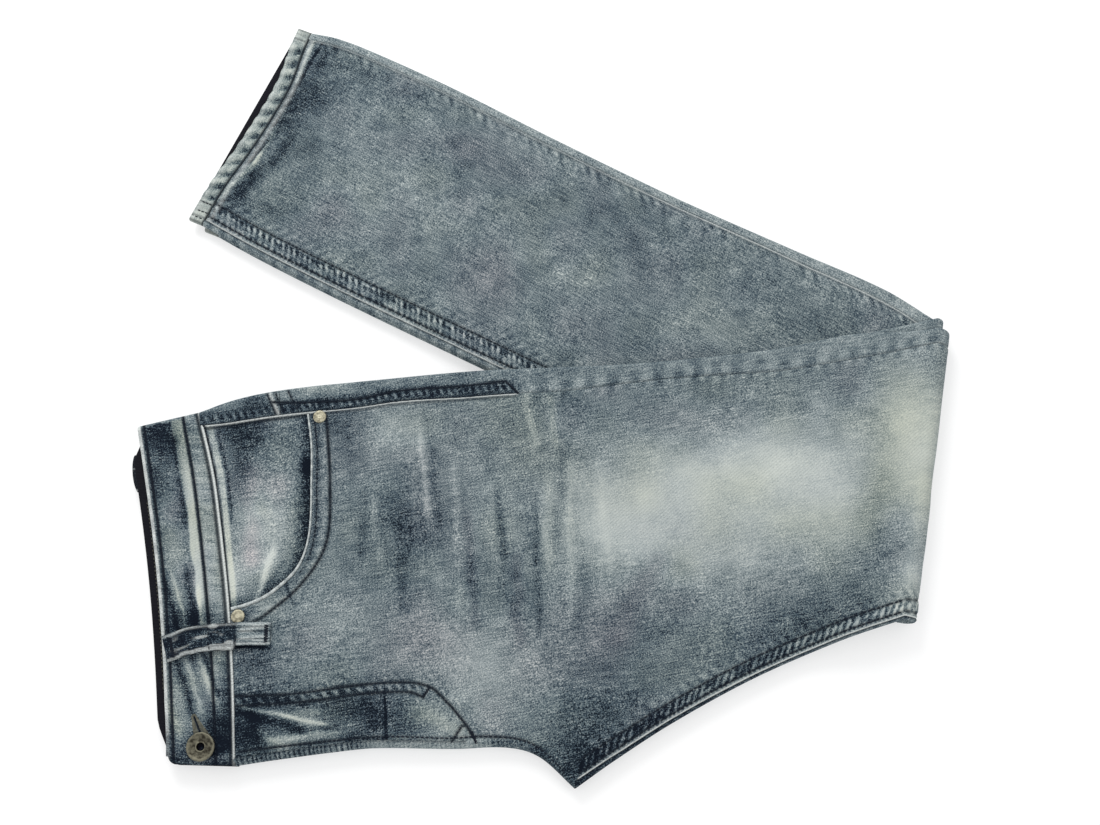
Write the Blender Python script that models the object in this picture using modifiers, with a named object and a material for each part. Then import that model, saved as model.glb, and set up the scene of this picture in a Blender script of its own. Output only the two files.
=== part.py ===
"""Skinny jeans, folded lengthwise with the backs inside and then under at the knee, lying flat.

Every cloth piece is a wall swept along the folded trousers. A station is one straight line
across them, from the side fold to the front or inseam fold. A section is drawn at each
station in two numbers: w, the distance in from the side fold, and z, the height in the stack
of two flattened legs, with the right leg below and the left leg on top. At the knee the whole
stack turns over about the fold line, so the right leg then lies on top.
Metres, +Z up. +X runs from the waist to the knee, and +Y from the fly to the side fold.
"""
import math
from collections import namedtuple

import bmesh
import bpy
from mathutils import Vector

NAME = "folded_jeans"

# Cloth and clearances
DENIM = 0.0012
BAND = 0.0024
HEM = 0.0020
GAP = 0.0003

# Heights of the stack of both legs
LEG_STACK = 0.0094
HIP_STACK = 0.0112
HIP_TAPER = 0.55

# The plan, as measured on the table. Its middle is moved to the origin.
PLAN_MIDDLE = (-0.00337, 0.02788)

# Edges in plan: x, y
SIDE_FOLD_UPPER = (
    (-0.2285, -0.0030), (-0.2070, 0.0054), (-0.1810, 0.0116), (-0.1420, 0.0168),
    (-0.0890, 0.0206), (-0.0300, 0.0238), (0.0490, 0.0275), (0.1010, 0.0323),
    (0.1500, 0.0385), (0.1910, 0.0472), (0.2300, 0.0556), (0.2583, 0.0622),
)
FRONT_FOLD = (
    (-0.1875, -0.2246), (-0.1645, -0.2212), (-0.1290, -0.2166), (-0.1050, -0.2143),
    (-0.0570, -0.2147), (-0.0250, -0.2140), (-0.0060, -0.2196), (0.0148, -0.2376),
)
INSEAM_UPPER = (
    (0.0148, -0.2376), (0.0390, -0.2212), (0.0750, -0.1990), (0.1250, -0.1728),
    (0.1750, -0.1520), (0.2160, -0.1385),
)
SIDE_FOLD_LOWER = (
    (-0.1730, 0.2885), (-0.1540, 0.2840), (-0.1270, 0.2722), (-0.0680, 0.2416),
    (0.0035, 0.2006), (0.0870, 0.1546), (0.1680, 0.1138), (0.2260, 0.0850), (0.2583, 0.0622),
)
INSEAM_LOWER = (
    (-0.2390, 0.1330), (-0.2020, 0.1112), (-0.1460, 0.0812), (-0.0500, 0.0323),
    (0.0300, -0.0080), (0.1000, -0.0445), (0.1500, -0.0740), (0.1900, -0.1090),
    (0.2160, -0.1385),
)
WAIST_TOP_SIDE = (-0.2665, -0.0125)
WAIST_TOP_FRONT = (-0.2262, -0.2236)

# Rows of stations
RISE_ROWS = 8
THIGH_ROWS = 10
BEND_ROWS = 5
SHIN_ROWS = 7
CROTCH_SHARE = 0.495
CROTCH_CLEARANCE = 0.0015
HIDDEN_START = 0.002
HIDDEN_END = 2.955
LEFT_END = 2.978
RIGHT_END = 3.0
YOKE_SHARE = 0.105
COLUMNS = 10

# How the layers step back from each other at the edges
SIDE_SEAM = 0.0150
KNEE_SEAM = 0.0095
SHIN_SEAM = 0.0065
EDGE_STRIP = 0.0050
FRONT_ROLL_DEPTH = 0.0034
RETURN = 0.0120
NOTCH = RETURN + GAP
KNEE_STEP = 0.0090
SHIN_STEP = 0.0035
KNEE_STEP_START = 0.86

# The upper legs ride up over the lower ones
RAMP = 0.0550
RAMP_CLEARANCE = 0.0120

# Waistband
BAND_GAP = 0.0005
BACK_REACH = 0.0062
BACK_REACH_AT_FRONT = 0.5
BACK_REACH_FROM = 0.010
BACK_REACH_TO = 0.024
BAND_ROWS = (0.0, 0.35, 0.65, 0.85, 1.0)
CENTRE_BACK_STEP = 0.0040

# Hem band
HEM_WIDTH = 0.0110
HEM_BACK_REACH = 0.0038

# Pocket mouth in plan, from the side seam to the waist seam: x, y
POCKET_MOUTH = (
    (-0.1578, 0.0010), (-0.1545, -0.0250), (-0.1528, -0.0500), (-0.1525, -0.0800),
    (-0.1570, -0.1010), (-0.1690, -0.1180), (-0.1830, -0.1265), (-0.2000, -0.1325),
)
POCKET_CORNER = ((-0.2400, -0.1400), (-0.2600, 0.0500), (-0.1600, 0.0500))
FACING_SHARE = 0.165
FACING_WIDTH = 0.150
POCKET_DIP = 0.0016
POCKET_DIP_TO = 0.20

# Fastenings
BUTTON_PLACE = (-0.2078, -0.2138)
BUTTON_RADIUS = 0.0085
BUTTON_HEIGHT = 0.0030
BUTTON_STEPS = 24
# share of its radius, share of its height, from the middle out
BUTTON_FACE = (
    (0.0, 0.35), (0.23, 0.35), (0.28, 0.85), (0.6, 1.0), (0.88, 1.0), (1.0, 0.7), (1.0, 0.4),
)
BUTTON_BACK_RADIUS = 0.0072
SHANK_RADIUS = 0.0026
SLIT_LENGTH = 0.0130
SLIT_WIDTH = 0.0012
SLIT_TURN = 2.02
RIVET_PLACES = (("rivet_side", (-0.1496, -0.0066)), ("rivet_waist", (-0.1926, -0.1352)))
RIVET_RADIUS = 0.0043
RIVET_HEIGHT = 0.0011
RIVET_STEPS = 20
# share of its radius, share of its height, from the middle out
RIVET_FACE = ((0.0, 0.75), (0.6, 0.75), (0.8, 1.0), (1.0, 0.4), (1.0, 0.0))

# Belt loop on the left front, and the end of the one at the back
LOOP_START = (-0.2330, -0.1565)
LOOP_END = (-0.1716, -0.1480)
LOOP_WIDTH = 0.0145
LOOP_WALL = 0.0016
# share of its length, height of the arch
LOOP_PROFILE = (
    (0.0, 0.0), (0.05, 0.0), (0.2, 0.0016), (0.5, 0.0022), (0.8, 0.0014), (0.95, 0.0), (1.0, 0.0),
)
BACK_LOOP_FROM_SIDE = 0.0310
BACK_LOOP_LENGTH = 0.0250
BACK_LOOP_REACH = 0.0036
# place along its length, share of its reach
BACK_LOOP_PROFILE = (
    (-0.50, 0.39), (-0.40, 0.68), (-0.20, 0.93), (0.0, 1.0), (0.20, 0.93), (0.40, 0.68), (0.50, 0.39),
)
BACK_LOOP_WALL = 0.0016

DENIM_BLUE = (0.16, 0.22, 0.28)
DARK_DENIM = (0.05, 0.07, 0.11)
INNER_CLOTH = (0.02, 0.02, 0.03)
AGED_METAL = (0.42, 0.38, 0.28)

# side and far: the two ends in plan. turn: the angle turned at the knee fold. stack: height.
# seam: how far in the side seam lies. left_step: how far the left leg steps back from the right.
# lifted: whether the lower legs can lie underneath.
Station = namedtuple("Station", "side far turn stack seam left_step lifted")


def smooth(share):
    """0 below 0, 1 above 1, and an even rise between."""
    share = min(max(share, 0.0), 1.0)
    return share * share * (3 - 2 * share)


def mix(low, high, share):
    return low + (high - low) * share


def edge_y(edge, x):
    """Height of an edge at x, on a smooth curve through its points."""
    last = len(edge) - 2
    span = next((i for i in range(last) if x < edge[i + 1][0]), last)

    def slope(i):
        before, after = edge[max(i - 1, 0)], edge[min(i + 1, last + 1)]
        return (after[1] - before[1]) / (after[0] - before[0])

    (x0, y0), (x1, y1) = edge[span], edge[span + 1]
    width = x1 - x0
    t = (x - x0) / width
    return (
        y0 * (2 * t ** 3 - 3 * t ** 2 + 1) + y1 * (3 * t ** 2 - 2 * t ** 3)
        + width * (slope(span) * (t ** 3 - 2 * t ** 2 + t) + slope(span + 1) * (t ** 3 - t ** 2))
    )


def on_edge(edge, share):
    """A point on an edge, at a share of its reach along x."""
    x = mix(edge[0][0], edge[-1][0], share)
    return Vector((x, edge_y(edge, x)))


def upper_share(x):
    """How far x is from the waist seam to the knee fold."""
    return (x - SIDE_FOLD_UPPER[0][0]) / (SIDE_FOLD_UPPER[-1][0] - SIDE_FOLD_UPPER[0][0])


def stack_height(share):
    return mix(HIP_STACK, LEG_STACK, smooth(share / HIP_TAPER))


def upper_station(share):
    """Station of the upper half: 0 at the waist seam, 1 at the knee fold."""
    if share < CROTCH_SHARE:
        far = on_edge(FRONT_FOLD, share / CROTCH_SHARE)
    else:
        far = on_edge(INSEAM_UPPER, (share - CROTCH_SHARE) / (1 - CROTCH_SHARE))
    near_knee = smooth((share - KNEE_STEP_START) / (1 - KNEE_STEP_START))
    seam = mix(SIDE_SEAM, KNEE_SEAM, near_knee)
    step = KNEE_STEP * near_knee
    side = on_edge(SIDE_FOLD_UPPER, share)
    return Station(side, far, 0.0, stack_height(share), seam, step, True)


def bend_station(share):
    """Station on the knee fold's round: 0 on top, 1 underneath."""
    side = Vector(SIDE_FOLD_UPPER[-1])
    far = Vector(INSEAM_UPPER[-1])
    return Station(side, far, math.pi * share, LEG_STACK, KNEE_SEAM, KNEE_STEP, True)


def lower_station(share):
    """Station of the lower half: 0 at the knee fold, 1 at the right hem's stitching."""
    side = on_edge(SIDE_FOLD_LOWER, 1 - share)
    far = on_edge(INSEAM_LOWER, 1 - share)
    step = mix(KNEE_STEP, SHIN_STEP, smooth(share * 2))
    seam = mix(KNEE_SEAM, SHIN_SEAM, smooth(share * 3))
    return Station(side, far, math.pi, LEG_STACK, seam, step, True)


def waist_station(share):
    """Station of the waistband: 0 at the waist seam, 1 at the top edge."""
    side = Vector(SIDE_FOLD_UPPER[0]).lerp(Vector(WAIST_TOP_SIDE), share)
    far = Vector(FRONT_FOLD[0]).lerp(Vector(WAIST_TOP_FRONT), share)
    away = (Vector(WAIST_TOP_SIDE) - Vector(SIDE_FOLD_UPPER[0])).normalized() * GAP
    return Station(side + away, far + away, 0.0, HIP_STACK, SIDE_SEAM, 0.0, False)


def stations(start, end):
    """Stations from start to end, on one scale: 0 waist seam, 1 to 2 the knee's round, 3 hem."""
    rise = [CROTCH_SHARE * i / RISE_ROWS for i in range(RISE_ROWS)]
    thigh = [mix(CROTCH_SHARE, 1, i / THIGH_ROWS) for i in range(THIGH_ROWS)]
    bend = [1 + i / BEND_ROWS for i in range(BEND_ROWS)]
    shin = [2 + i / SHIN_ROWS for i in range(SHIN_ROWS)] + [HIDDEN_END, LEFT_END]
    places = [p for p in rise + thigh + bend + shin if start < p < end]
    return [station_at(p) for p in [start] + places + [end]]


def station_at(place):
    if place <= 1:
        return upper_station(place)
    if place <= 2:
        return bend_station(place - 1)
    return lower_station(place - 2)


def over_lower_legs(x, y):
    """How high the upper legs are lifted at a point by the lower legs beneath them."""
    along = Vector(INSEAM_LOWER[-1]) - Vector(INSEAM_LOWER[0])
    inside = (y - edge_y(INSEAM_LOWER, x)) * along.x / along.length
    return (LEG_STACK + GAP) * smooth((inside + RAMP + RAMP_CLEARANCE) / RAMP)


def place(station, w, z, reach=0.0):
    """The point w in from the side fold and z up the stack, moved out past a cut edge by reach."""
    along = (station.far - station.side).normalized()
    ahead = Vector((-along.y, along.x))
    spot = station.side + along * w - ahead * reach * math.cos(station.turn)
    if station.turn == 0.0:
        # The rolled edges keep level across their width.
        level = station.side + along * min(max(w, SIDE_SEAM), width_of(station) - NOTCH)
        lift = over_lower_legs(level.x, level.y) if station.lifted else 0.0
        if station.side.x >= SIDE_FOLD_UPPER[-1][0]:
            lift = LEG_STACK + GAP
        height = lift + z
    else:
        radius = z + GAP / 2
        spot = spot + ahead * radius * math.sin(station.turn)
        height = LEG_STACK + GAP / 2 + radius * math.cos(station.turn)
    return Vector((spot.x - PLAN_MIDDLE[0], spot.y - PLAN_MIDDLE[1], height))


def width_of(station):
    return (station.far - station.side).length


def arc(w, z, radius, start, end, steps):
    """Points round a centre, angles in quarter turns from +w towards +z."""
    turns = [mix(start, end, i / steps) * math.pi / 2 for i in range(steps + 1)]
    return [(w + radius * math.cos(a), z + radius * math.sin(a)) for a in turns]


def side_roll(edge, top_end, low_end, low, high):
    """Section of a wall that comes in over the top, turns round the side fold and goes back in."""
    radius = (high - low - DENIM) / 2
    middle = (low + high) / 2
    outer = edge + DENIM / 2 + radius
    bend = arc(outer, middle, radius, 1, 3, 4)
    return [(top_end, middle + radius)] + bend + [(low_end, middle - radius)]


def far_roll(edge, top_end, low_end, low, high, depth=None):
    """The same at the other fold. depth is how far the round reaches in, if it isn't circular."""
    radius = (high - low - DENIM) / 2
    depth = depth or radius
    middle = (low + high) / 2
    outer = edge - DENIM / 2 - depth
    bend = [(outer + w * depth, middle + z * radius) for w, z in arc(0.0, 0.0, 1.0, 1, -1, 4)]
    return [(top_end, middle + radius)] + bend + [(low_end, middle - radius)]


def new_object(name, collection, colour, metallic=0.0, roughness=0.9):
    """An empty mesh object with its own material."""
    mesh = bpy.data.meshes.new(name)
    item = bpy.data.objects.new(name, mesh)
    collection.objects.link(item)
    material = bpy.data.materials.new(name)
    material.use_nodes = True
    shader = material.node_tree.nodes["Principled BSDF"]
    shader.inputs["Base Color"].default_value = (*colour, 1.0)
    shader.inputs["Metallic"].default_value = metallic
    shader.inputs["Roughness"].default_value = roughness
    mesh.materials.append(material)
    return item


def fill_mesh(item, work):
    work.to_mesh(item.data)
    work.free()


def patch(work, corner, beside, beyond, ahead, inward):
    """Two triangles. Layers that lie on each other are all split along the same diagonal."""
    if inward:
        work.faces.new((corner, beside, beyond))
        work.faces.new((corner, beyond, ahead))
    else:
        work.faces.new((corner, beside, ahead))
        work.faces.new((beside, beyond, ahead))


def sheet_object(name, collection, rows, wall, colour):
    """A cloth wall whose middle surface runs through rows of points."""
    item = new_object(name, collection, colour)
    work = bmesh.new()
    grid = [[work.verts.new(point) for point in row] for row in rows]
    for row, after in zip(grid, grid[1:]):
        for i in range(len(row) - 1):
            patch(work, row[i], row[i + 1], after[i + 1], after[i], True)
    fill_mesh(item, work)
    thickness = item.modifiers.new("Wall", "SOLIDIFY")
    thickness.thickness = wall
    thickness.offset = 0.0
    thickness.use_even_offset = True
    return item


def swept_wall(name, collection, line, section, wall=DENIM, colour=DENIM_BLUE):
    """A cloth wall swept along a line of stations. section gives the points of one station."""
    rows = [[place(station, *point) for point in section(station)] for station in line]
    return sheet_object(name, collection, rows, wall, colour)


def swept_solid(name, collection, line, section, colour):
    """A closed solid swept along a line of stations, with capped ends."""
    item = new_object(name, collection, colour)
    work = bmesh.new()
    sections = [section(station) for station in line]
    rings = [
        [work.verts.new(place(station, *point)) for point in points]
        for station, points in zip(line, sections)
    ]
    for points, ring, after in zip(sections, rings, rings[1:]):
        for i, corner in enumerate(ring):
            j = (i + 1) % len(ring)
            patch(work, corner, ring[j], after[j], after[i], points[j][0] > points[i][0])
    work.faces.new(reversed(rings[0]))
    work.faces.new(rings[-1])
    bmesh.ops.recalc_face_normals(work, faces=work.faces)
    fill_mesh(item, work)
    return item


def across(start, end):
    return [mix(start, end, i / COLUMNS) for i in range(COLUMNS + 1)]


def panel_columns(station, start, strip):
    """Distances across a panel. The last step spans the level edge."""
    width = width_of(station)
    return across(start, width - NOTCH) + [width - strip]


def in_rise(station):
    """True where the far fold is the centre front and not the inseam."""
    return station.turn == 0.0 and station.far.x <= INSEAM_UPPER[0][0] + GAP


def left_columns(station):
    return panel_columns(station, station.left_step + station.seam, EDGE_STRIP)


def right_columns(station):
    return panel_columns(station, station.seam, RETURN if in_rise(station) else EDGE_STRIP)


def left_front_section(station):
    return [(w, station.stack - DENIM / 2) for w in left_columns(station)]


def right_front_section(station):
    return [(w, DENIM / 2) for w in right_columns(station)]


def middle_of(station):
    return station.stack / 2


def left_back_section(station):
    step = station.left_step
    seam = step + station.seam - GAP
    return side_roll(step, seam, step + RETURN, middle_of(station) + GAP / 2, station.stack)


def right_back_section(station):
    return side_roll(0.0, RETURN, station.seam - GAP, 0.0, middle_of(station) - GAP / 2)


def left_inseam_section(station):
    width = width_of(station)
    low = middle_of(station) + GAP / 2
    return far_roll(width, width - EDGE_STRIP + GAP, width - RETURN, low, station.stack)


def right_inseam_section(station):
    width = width_of(station)
    high = middle_of(station) - GAP / 2
    return far_roll(width, width - RETURN, width - EDGE_STRIP + GAP, 0.0, high)


def front_edge_section(station):
    """The right front's edge, which wraps the centre front fold from the floor to the top."""
    width = width_of(station)
    low_end = width - RETURN + GAP
    depth = FRONT_ROLL_DEPTH
    return far_roll(width, width - EDGE_STRIP + GAP, low_end, 0.0, station.stack, depth)


def hidden_section(station):
    """The layers inside: one body with a tongue into each roll at both edges."""
    skin = DENIM + GAP
    width = width_of(station)
    by_pocket = station.turn == 0.0 and upper_share(station.side.x) < POCKET_DIP_TO
    dip = POCKET_DIP if by_pocket else 0.0
    top = station.stack - skin
    middle = middle_of(station)
    roll_end = skin + 3 * GAP
    rise = in_rise(station)
    far_end = width - (station.stack / 2 + DENIM if rise else roll_end)
    left_side = station.left_step
    tongue = skin + GAP
    left = left_columns(station)
    right = right_columns(station)
    upper = [(left_side + roll_end, top - dip)]
    upper += [(w, top - dip) for w in left[:-1]]
    upper += [(min(left[-1], far_end - GAP), top - dip), (far_end, top - dip - GAP)]
    far_notch = [
        (far_end, middle + tongue), (width - NOTCH, middle + tongue),
        (width - NOTCH, middle - tongue), (far_end, middle - tongue),
    ]
    lower = [(far_end, skin + GAP), (min(right[-1], far_end - GAP), skin)]
    lower += [(w, skin) for w in reversed(right[:-1])]
    lower += [(roll_end, skin)]
    side_notch = [
        (roll_end, middle - tongue), (left_side + NOTCH, middle - tongue),
        (left_side + NOTCH, middle + tongue), (left_side + roll_end, middle + tongue),
    ]
    return upper + far_notch + lower + side_notch


def facing_section(station):
    level = station.stack - 1.5 * DENIM - GAP
    return [(w, level) for w in across(SIDE_SEAM, FACING_WIDTH)]


def waistband_section(share):
    """One long band, folded four deep: left front, left back, right back, right front."""
    pitch = BAND + BAND_GAP
    heights = [BAND / 2 + pitch * i for i in (3, 2, 1, 0)]
    radius = pitch / 2

    def reach(w, width):
        rise = smooth((w - BACK_REACH_FROM) / (BACK_REACH_TO - BACK_REACH_FROM))
        even = mix(1.0, BACK_REACH_AT_FRONT, w / width)
        return BACK_REACH * rise * even * smooth(share * 2 - 1)

    def section(station):
        width = width_of(station)
        back_end = width - CENTRE_BACK_STEP
        front = across(radius + BAND / 2, width)
        back = across(radius + BAND / 2, back_end - radius - BAND / 2)
        path = [(w, heights[0], 0.0) for w in reversed(front)]
        path += [(*p, 0.0) for p in arc(front[0], heights[0] - radius, radius, 1, 3, 4)[1:-1]]
        path += [(w, heights[1], reach(w, width)) for w in back]
        turn = reach(back[-1], width)
        path += [(*p, turn) for p in arc(back[-1], heights[1] - radius, radius, 1, -1, 4)[1:-1]]
        path += [(w, heights[2], reach(w, width)) for w in reversed(back)]
        path += [(*p, 0.0) for p in arc(front[0], heights[2] - radius, radius, 1, 3, 4)[1:-1]]
        path += [(w, heights[3], 0.0) for w in front]
        return path

    return section


def add_waistband(collection):
    rows = []
    for share in BAND_ROWS:
        station = waist_station(share)
        rows.append([place(station, *point) for point in waistband_section(share)(station)])
    return sheet_object("waistband", collection, rows, BAND, DARK_DENIM)


def hem_section(low, high, left_step, reach_top, reach_low):
    """Round a flattened leg end, from the inseam over the top, the side fold and back below."""
    def section(station):
        width = width_of(station)
        radius = (high - low - HEM) / 2
        middle = (low + high) / 2
        near = left_step + HEM / 2 + radius
        far = width - HEM / 2 - radius
        span = [mix(far, near, i / COLUMNS) for i in range(COLUMNS + 1)]
        slit = GAP / radius
        path = [(*p, 0.0) for p in arc(far, middle, radius, slit, 1, 2)[:-1]]
        path += [(w, middle + radius, reach_top * bulge(w, near, far)) for w in span]
        path += [(*p, 0.0) for p in arc(near, middle, radius, 1, 3, 4)[1:-1]]
        path += [(w, middle - radius, reach_low * bulge(w, near, far)) for w in reversed(span)]
        path += [(*p, 0.0) for p in arc(far, middle, radius, -1, -slit, 2)[1:]]
        return path

    return section


def bulge(w, near, far):
    return math.sin(math.pi * (w - near) / (far - near))


def add_hem(name, collection, seam, low, high, left_step, back_on_top):
    """A turned hem: two stations, the stitched edge and the leg's end."""
    start = station_at(seam)
    along = (start.far - start.side).normalized()
    out = Vector((along.y, -along.x))
    rows = []
    for distance in (GAP, HEM_WIDTH):
        shift = out * distance
        station = start._replace(side=start.side + shift, far=start.far + shift)
        reach = HEM_BACK_REACH if distance == HEM_WIDTH else 0.0
        top, below = (reach, 0.0) if back_on_top else (0.0, reach)
        section = hem_section(low, high, left_step, top, below)
        rows.append([place(station, *point) for point in section(station)])
    return sheet_object(name, collection, rows, HEM, DENIM_BLUE)


def prism(name, outline, low, high, cutters):
    """A cutter: an outline in plan between two heights."""
    item = new_object(name, cutters, DARK_DENIM)
    item.hide_render = True
    item.display_type = "WIRE"
    work = bmesh.new()
    corners = [
        work.verts.new((x - PLAN_MIDDLE[0], y - PLAN_MIDDLE[1], low)) for x, y in outline
    ]
    base = work.faces.new(corners)
    raised = bmesh.ops.extrude_face_region(work, geom=[base])["geom"]
    tops = [part for part in raised if isinstance(part, bmesh.types.BMVert)]
    bmesh.ops.translate(work, verts=tops, vec=(0, 0, high - low))
    bmesh.ops.recalc_face_normals(work, faces=work.faces)
    fill_mesh(item, work)
    return item


def cut(item, cutter):
    """Takes the cutter's volume out of an object."""
    boolean = item.modifiers.new(cutter.name, "BOOLEAN")
    boolean.operation = "DIFFERENCE"
    boolean.solver = "EXACT"
    boolean.object = cutter


def circle(centre, radius, steps):
    turns = [2 * math.pi * i / steps for i in range(steps)]
    return [(centre[0] + radius * math.cos(a), centre[1] + radius * math.sin(a)) for a in turns]


def turned(name, collection, profile, plan, base, steps):
    """A round metal piece: a profile of (radius, height) pairs, from the top down, spun."""
    item = new_object(name, collection, AGED_METAL, metallic=1.0, roughness=0.4)
    work = bmesh.new()
    points = [work.verts.new((radius, 0.0, height)) for radius, height in profile]
    for point, after in zip(points, points[1:]):
        work.edges.new((point, after))
    fill_mesh(item, work)
    item.location = (plan[0] - PLAN_MIDDLE[0], plan[1] - PLAN_MIDDLE[1], base)
    spin = item.modifiers.new("Spin", "SCREW")
    spin.axis = "Z"
    spin.steps = steps
    spin.render_steps = steps
    spin.use_smooth_shade = True
    spin.use_merge_vertices = True
    spin.merge_threshold = 0.00001
    return item


def add_button(collection, waistband, cutters):
    """A shank button through the keyhole in the band's left end."""
    top = 4 * BAND + 3 * BAND_GAP
    shank = GAP - BAND
    profile = [(BUTTON_RADIUS * across, BUTTON_HEIGHT * up) for across, up in BUTTON_FACE]
    profile += [(BUTTON_BACK_RADIUS, GAP), (SHANK_RADIUS, GAP), (SHANK_RADIUS, shank), (0.0, shank)]
    turned("button", collection, profile, BUTTON_PLACE, top, BUTTON_STEPS)
    low, high = top - BAND - BAND_GAP / 2, top + BAND
    hole = circle(BUTTON_PLACE, SHANK_RADIUS + GAP, RIVET_STEPS)
    cut(waistband, prism("keyhole_eye", hole, low, high, cutters))
    ahead = Vector((math.cos(SLIT_TURN), math.sin(SLIT_TURN)))
    aside = Vector((-ahead.y, ahead.x)) * SLIT_WIDTH / 2
    near = Vector(BUTTON_PLACE)
    far = near + ahead * SLIT_LENGTH
    slit = (near - aside, far - aside, far + aside, near + aside)
    cut(waistband, prism("keyhole_slit", slit, low, high, cutters))


def add_rivets(collection):
    for name, plan in RIVET_PLACES:
        profile = [(RIVET_RADIUS * across, RIVET_HEIGHT * up) for across, up in RIVET_FACE]
        base = stack_height(upper_share(plan[0])) + GAP
        turned(name, collection, profile + [(0.0, 0.0)], plan, base, RIVET_STEPS)


def add_belt_loop(collection):
    """A strip arched from the band's top edge to just below the waist seam."""
    start, end = Vector(LOOP_START), Vector(LOOP_END)
    aside = (end - start).normalized().orthogonal() * LOOP_WIDTH / 2
    base = HIP_STACK + GAP + LOOP_WALL / 2
    rows = []
    for share, arch in LOOP_PROFILE:
        spot = start.lerp(end, share) - Vector(PLAN_MIDDLE)
        rows.append([Vector((*(spot + side * aside), base + arch)) for side in (-1, 0, 1)])
    return sheet_object("belt_loop", collection, rows, LOOP_WALL, DENIM_BLUE)


def add_back_loop(collection):
    """The end of a belt loop of the back, seen past the waistband's front."""
    along = (Vector(WAIST_TOP_FRONT) - Vector(WAIST_TOP_SIDE)).normalized()
    out = Vector((along.y, -along.x))
    height = BAND / 2 + 2 * (BAND + BAND_GAP)
    middle = Vector(WAIST_TOP_SIDE) + along * BACK_LOOP_FROM_SIDE + out * (BACK_REACH + 2 * GAP)
    rows = []
    for share, depth in BACK_LOOP_PROFILE:
        spot = middle + along * share * BACK_LOOP_LENGTH - Vector(PLAN_MIDDLE)
        reach = BACK_LOOP_REACH * depth
        rows.append([Vector((*(spot + out * r), height)) for r in (0.0, reach / 2, reach)])
    return sheet_object("back_loop", collection, rows, BACK_LOOP_WALL, INNER_CLOTH)


def add_cloth(parts, cutters):
    """The panels, their rolled edges and the layers inside them."""
    left_front = swept_wall("left_front", parts, stations(0.0, LEFT_END), left_front_section)
    low, high = HIP_STACK - 2 * DENIM, HIP_STACK + DENIM
    cut(left_front, prism("pocket_mouth", POCKET_MOUTH + POCKET_CORNER, low, high, cutters))
    swept_wall("right_front", parts, stations(0.0, RIGHT_END), right_front_section)

    yoke = stations(0.0, YOKE_SHARE - GAP)
    swept_wall("left_yoke", parts, yoke, left_back_section)
    swept_wall("right_yoke", parts, yoke, right_back_section)
    back = YOKE_SHARE + GAP
    swept_wall("left_back", parts, stations(back, LEFT_END), left_back_section)
    swept_wall("right_back", parts, stations(back, RIGHT_END), right_back_section)

    crotch = CROTCH_SHARE + CROTCH_CLEARANCE
    swept_wall("left_back_inseam", parts, stations(crotch, LEFT_END), left_inseam_section)
    swept_wall("right_back_inseam", parts, stations(crotch, RIGHT_END), right_inseam_section)
    rise = stations(0.0, CROTCH_SHARE - CROTCH_CLEARANCE)
    swept_wall("right_front_edge", parts, rise, front_edge_section)

    swept_wall("pocket_facing", parts, stations(0.0, FACING_SHARE), facing_section)
    swept_solid("hidden_layers", parts, stations(HIDDEN_START, HIDDEN_END), hidden_section, DARK_DENIM)


def add_hems(parts):
    middle = LEG_STACK / 2
    add_hem("right_hem", parts, RIGHT_END, 0.0, middle - GAP / 2, 0.0, False)
    add_hem("left_hem", parts, LEFT_END, middle + GAP / 2, LEG_STACK, SHIN_STEP, True)


def build():
    for old in list(bpy.data.objects):
        bpy.data.objects.remove(old)
    parts = bpy.data.collections.new(NAME)
    cutters = bpy.data.collections.new("cutters")
    for collection in (parts, cutters):
        bpy.context.scene.collection.children.link(collection)
    add_cloth(parts, cutters)
    add_hems(parts)
    waistband = add_waistband(parts)
    add_button(parts, waistband, cutters)
    add_rivets(parts)
    add_belt_loop(parts)
    add_back_loop(parts)


build()
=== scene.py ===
"""The looks of the folded skinny jeans: washed grey-blue denim with pale wear, dark thread and metal.

Every cloth piece is a fine shell on the same lines as its solid. A line runs straight across the
jeans, from the side fold to the front or inseam fold, and a place tells where it is: 0 at the
waist seam, 1 to 2 round the knee, 3 at the hem. w is the distance in from the side fold and z
the height in the stack of two flattened legs, right leg below and left leg on top.
Edges are in metres on the table. Tables of wear and creases are in millimetres there.
"""
import functools
import math
from collections import namedtuple

import bmesh
import bpy
import numpy as np
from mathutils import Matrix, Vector
from mathutils.bvhtree import BVHTree

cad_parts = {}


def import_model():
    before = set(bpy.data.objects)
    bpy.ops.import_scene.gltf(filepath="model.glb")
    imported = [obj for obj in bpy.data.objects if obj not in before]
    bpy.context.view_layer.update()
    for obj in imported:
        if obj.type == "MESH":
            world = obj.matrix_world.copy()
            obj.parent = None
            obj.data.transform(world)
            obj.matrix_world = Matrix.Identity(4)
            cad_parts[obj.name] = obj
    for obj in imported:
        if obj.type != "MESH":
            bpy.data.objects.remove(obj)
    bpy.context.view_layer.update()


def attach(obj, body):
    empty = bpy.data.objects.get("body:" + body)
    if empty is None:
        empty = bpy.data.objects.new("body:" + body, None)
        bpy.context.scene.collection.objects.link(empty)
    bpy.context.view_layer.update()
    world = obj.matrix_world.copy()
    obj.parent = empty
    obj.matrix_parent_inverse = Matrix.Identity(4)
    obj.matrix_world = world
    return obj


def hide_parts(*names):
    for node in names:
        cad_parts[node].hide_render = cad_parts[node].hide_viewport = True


MM = 0.001

# ---- the same sizes as in the solids ---------------------------------------------------------
# Thickness of a panel, of the folded waistband and of a turned hem, and the gap between pieces
DENIM = 0.0012
BAND = 0.0024
HEM = 0.0020
GAP = 0.0003
# Height of the two flattened legs, at the hips, and the place where the hips' extra ends
LEG_STACK = 0.0094
HIP_STACK = 0.0112
HIP_TAPER = 0.55
# Middle of the jeans' box, on the table that the lines are drawn on
PLAN_MIDDLE = np.array((-0.00337, 0.02788))

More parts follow.
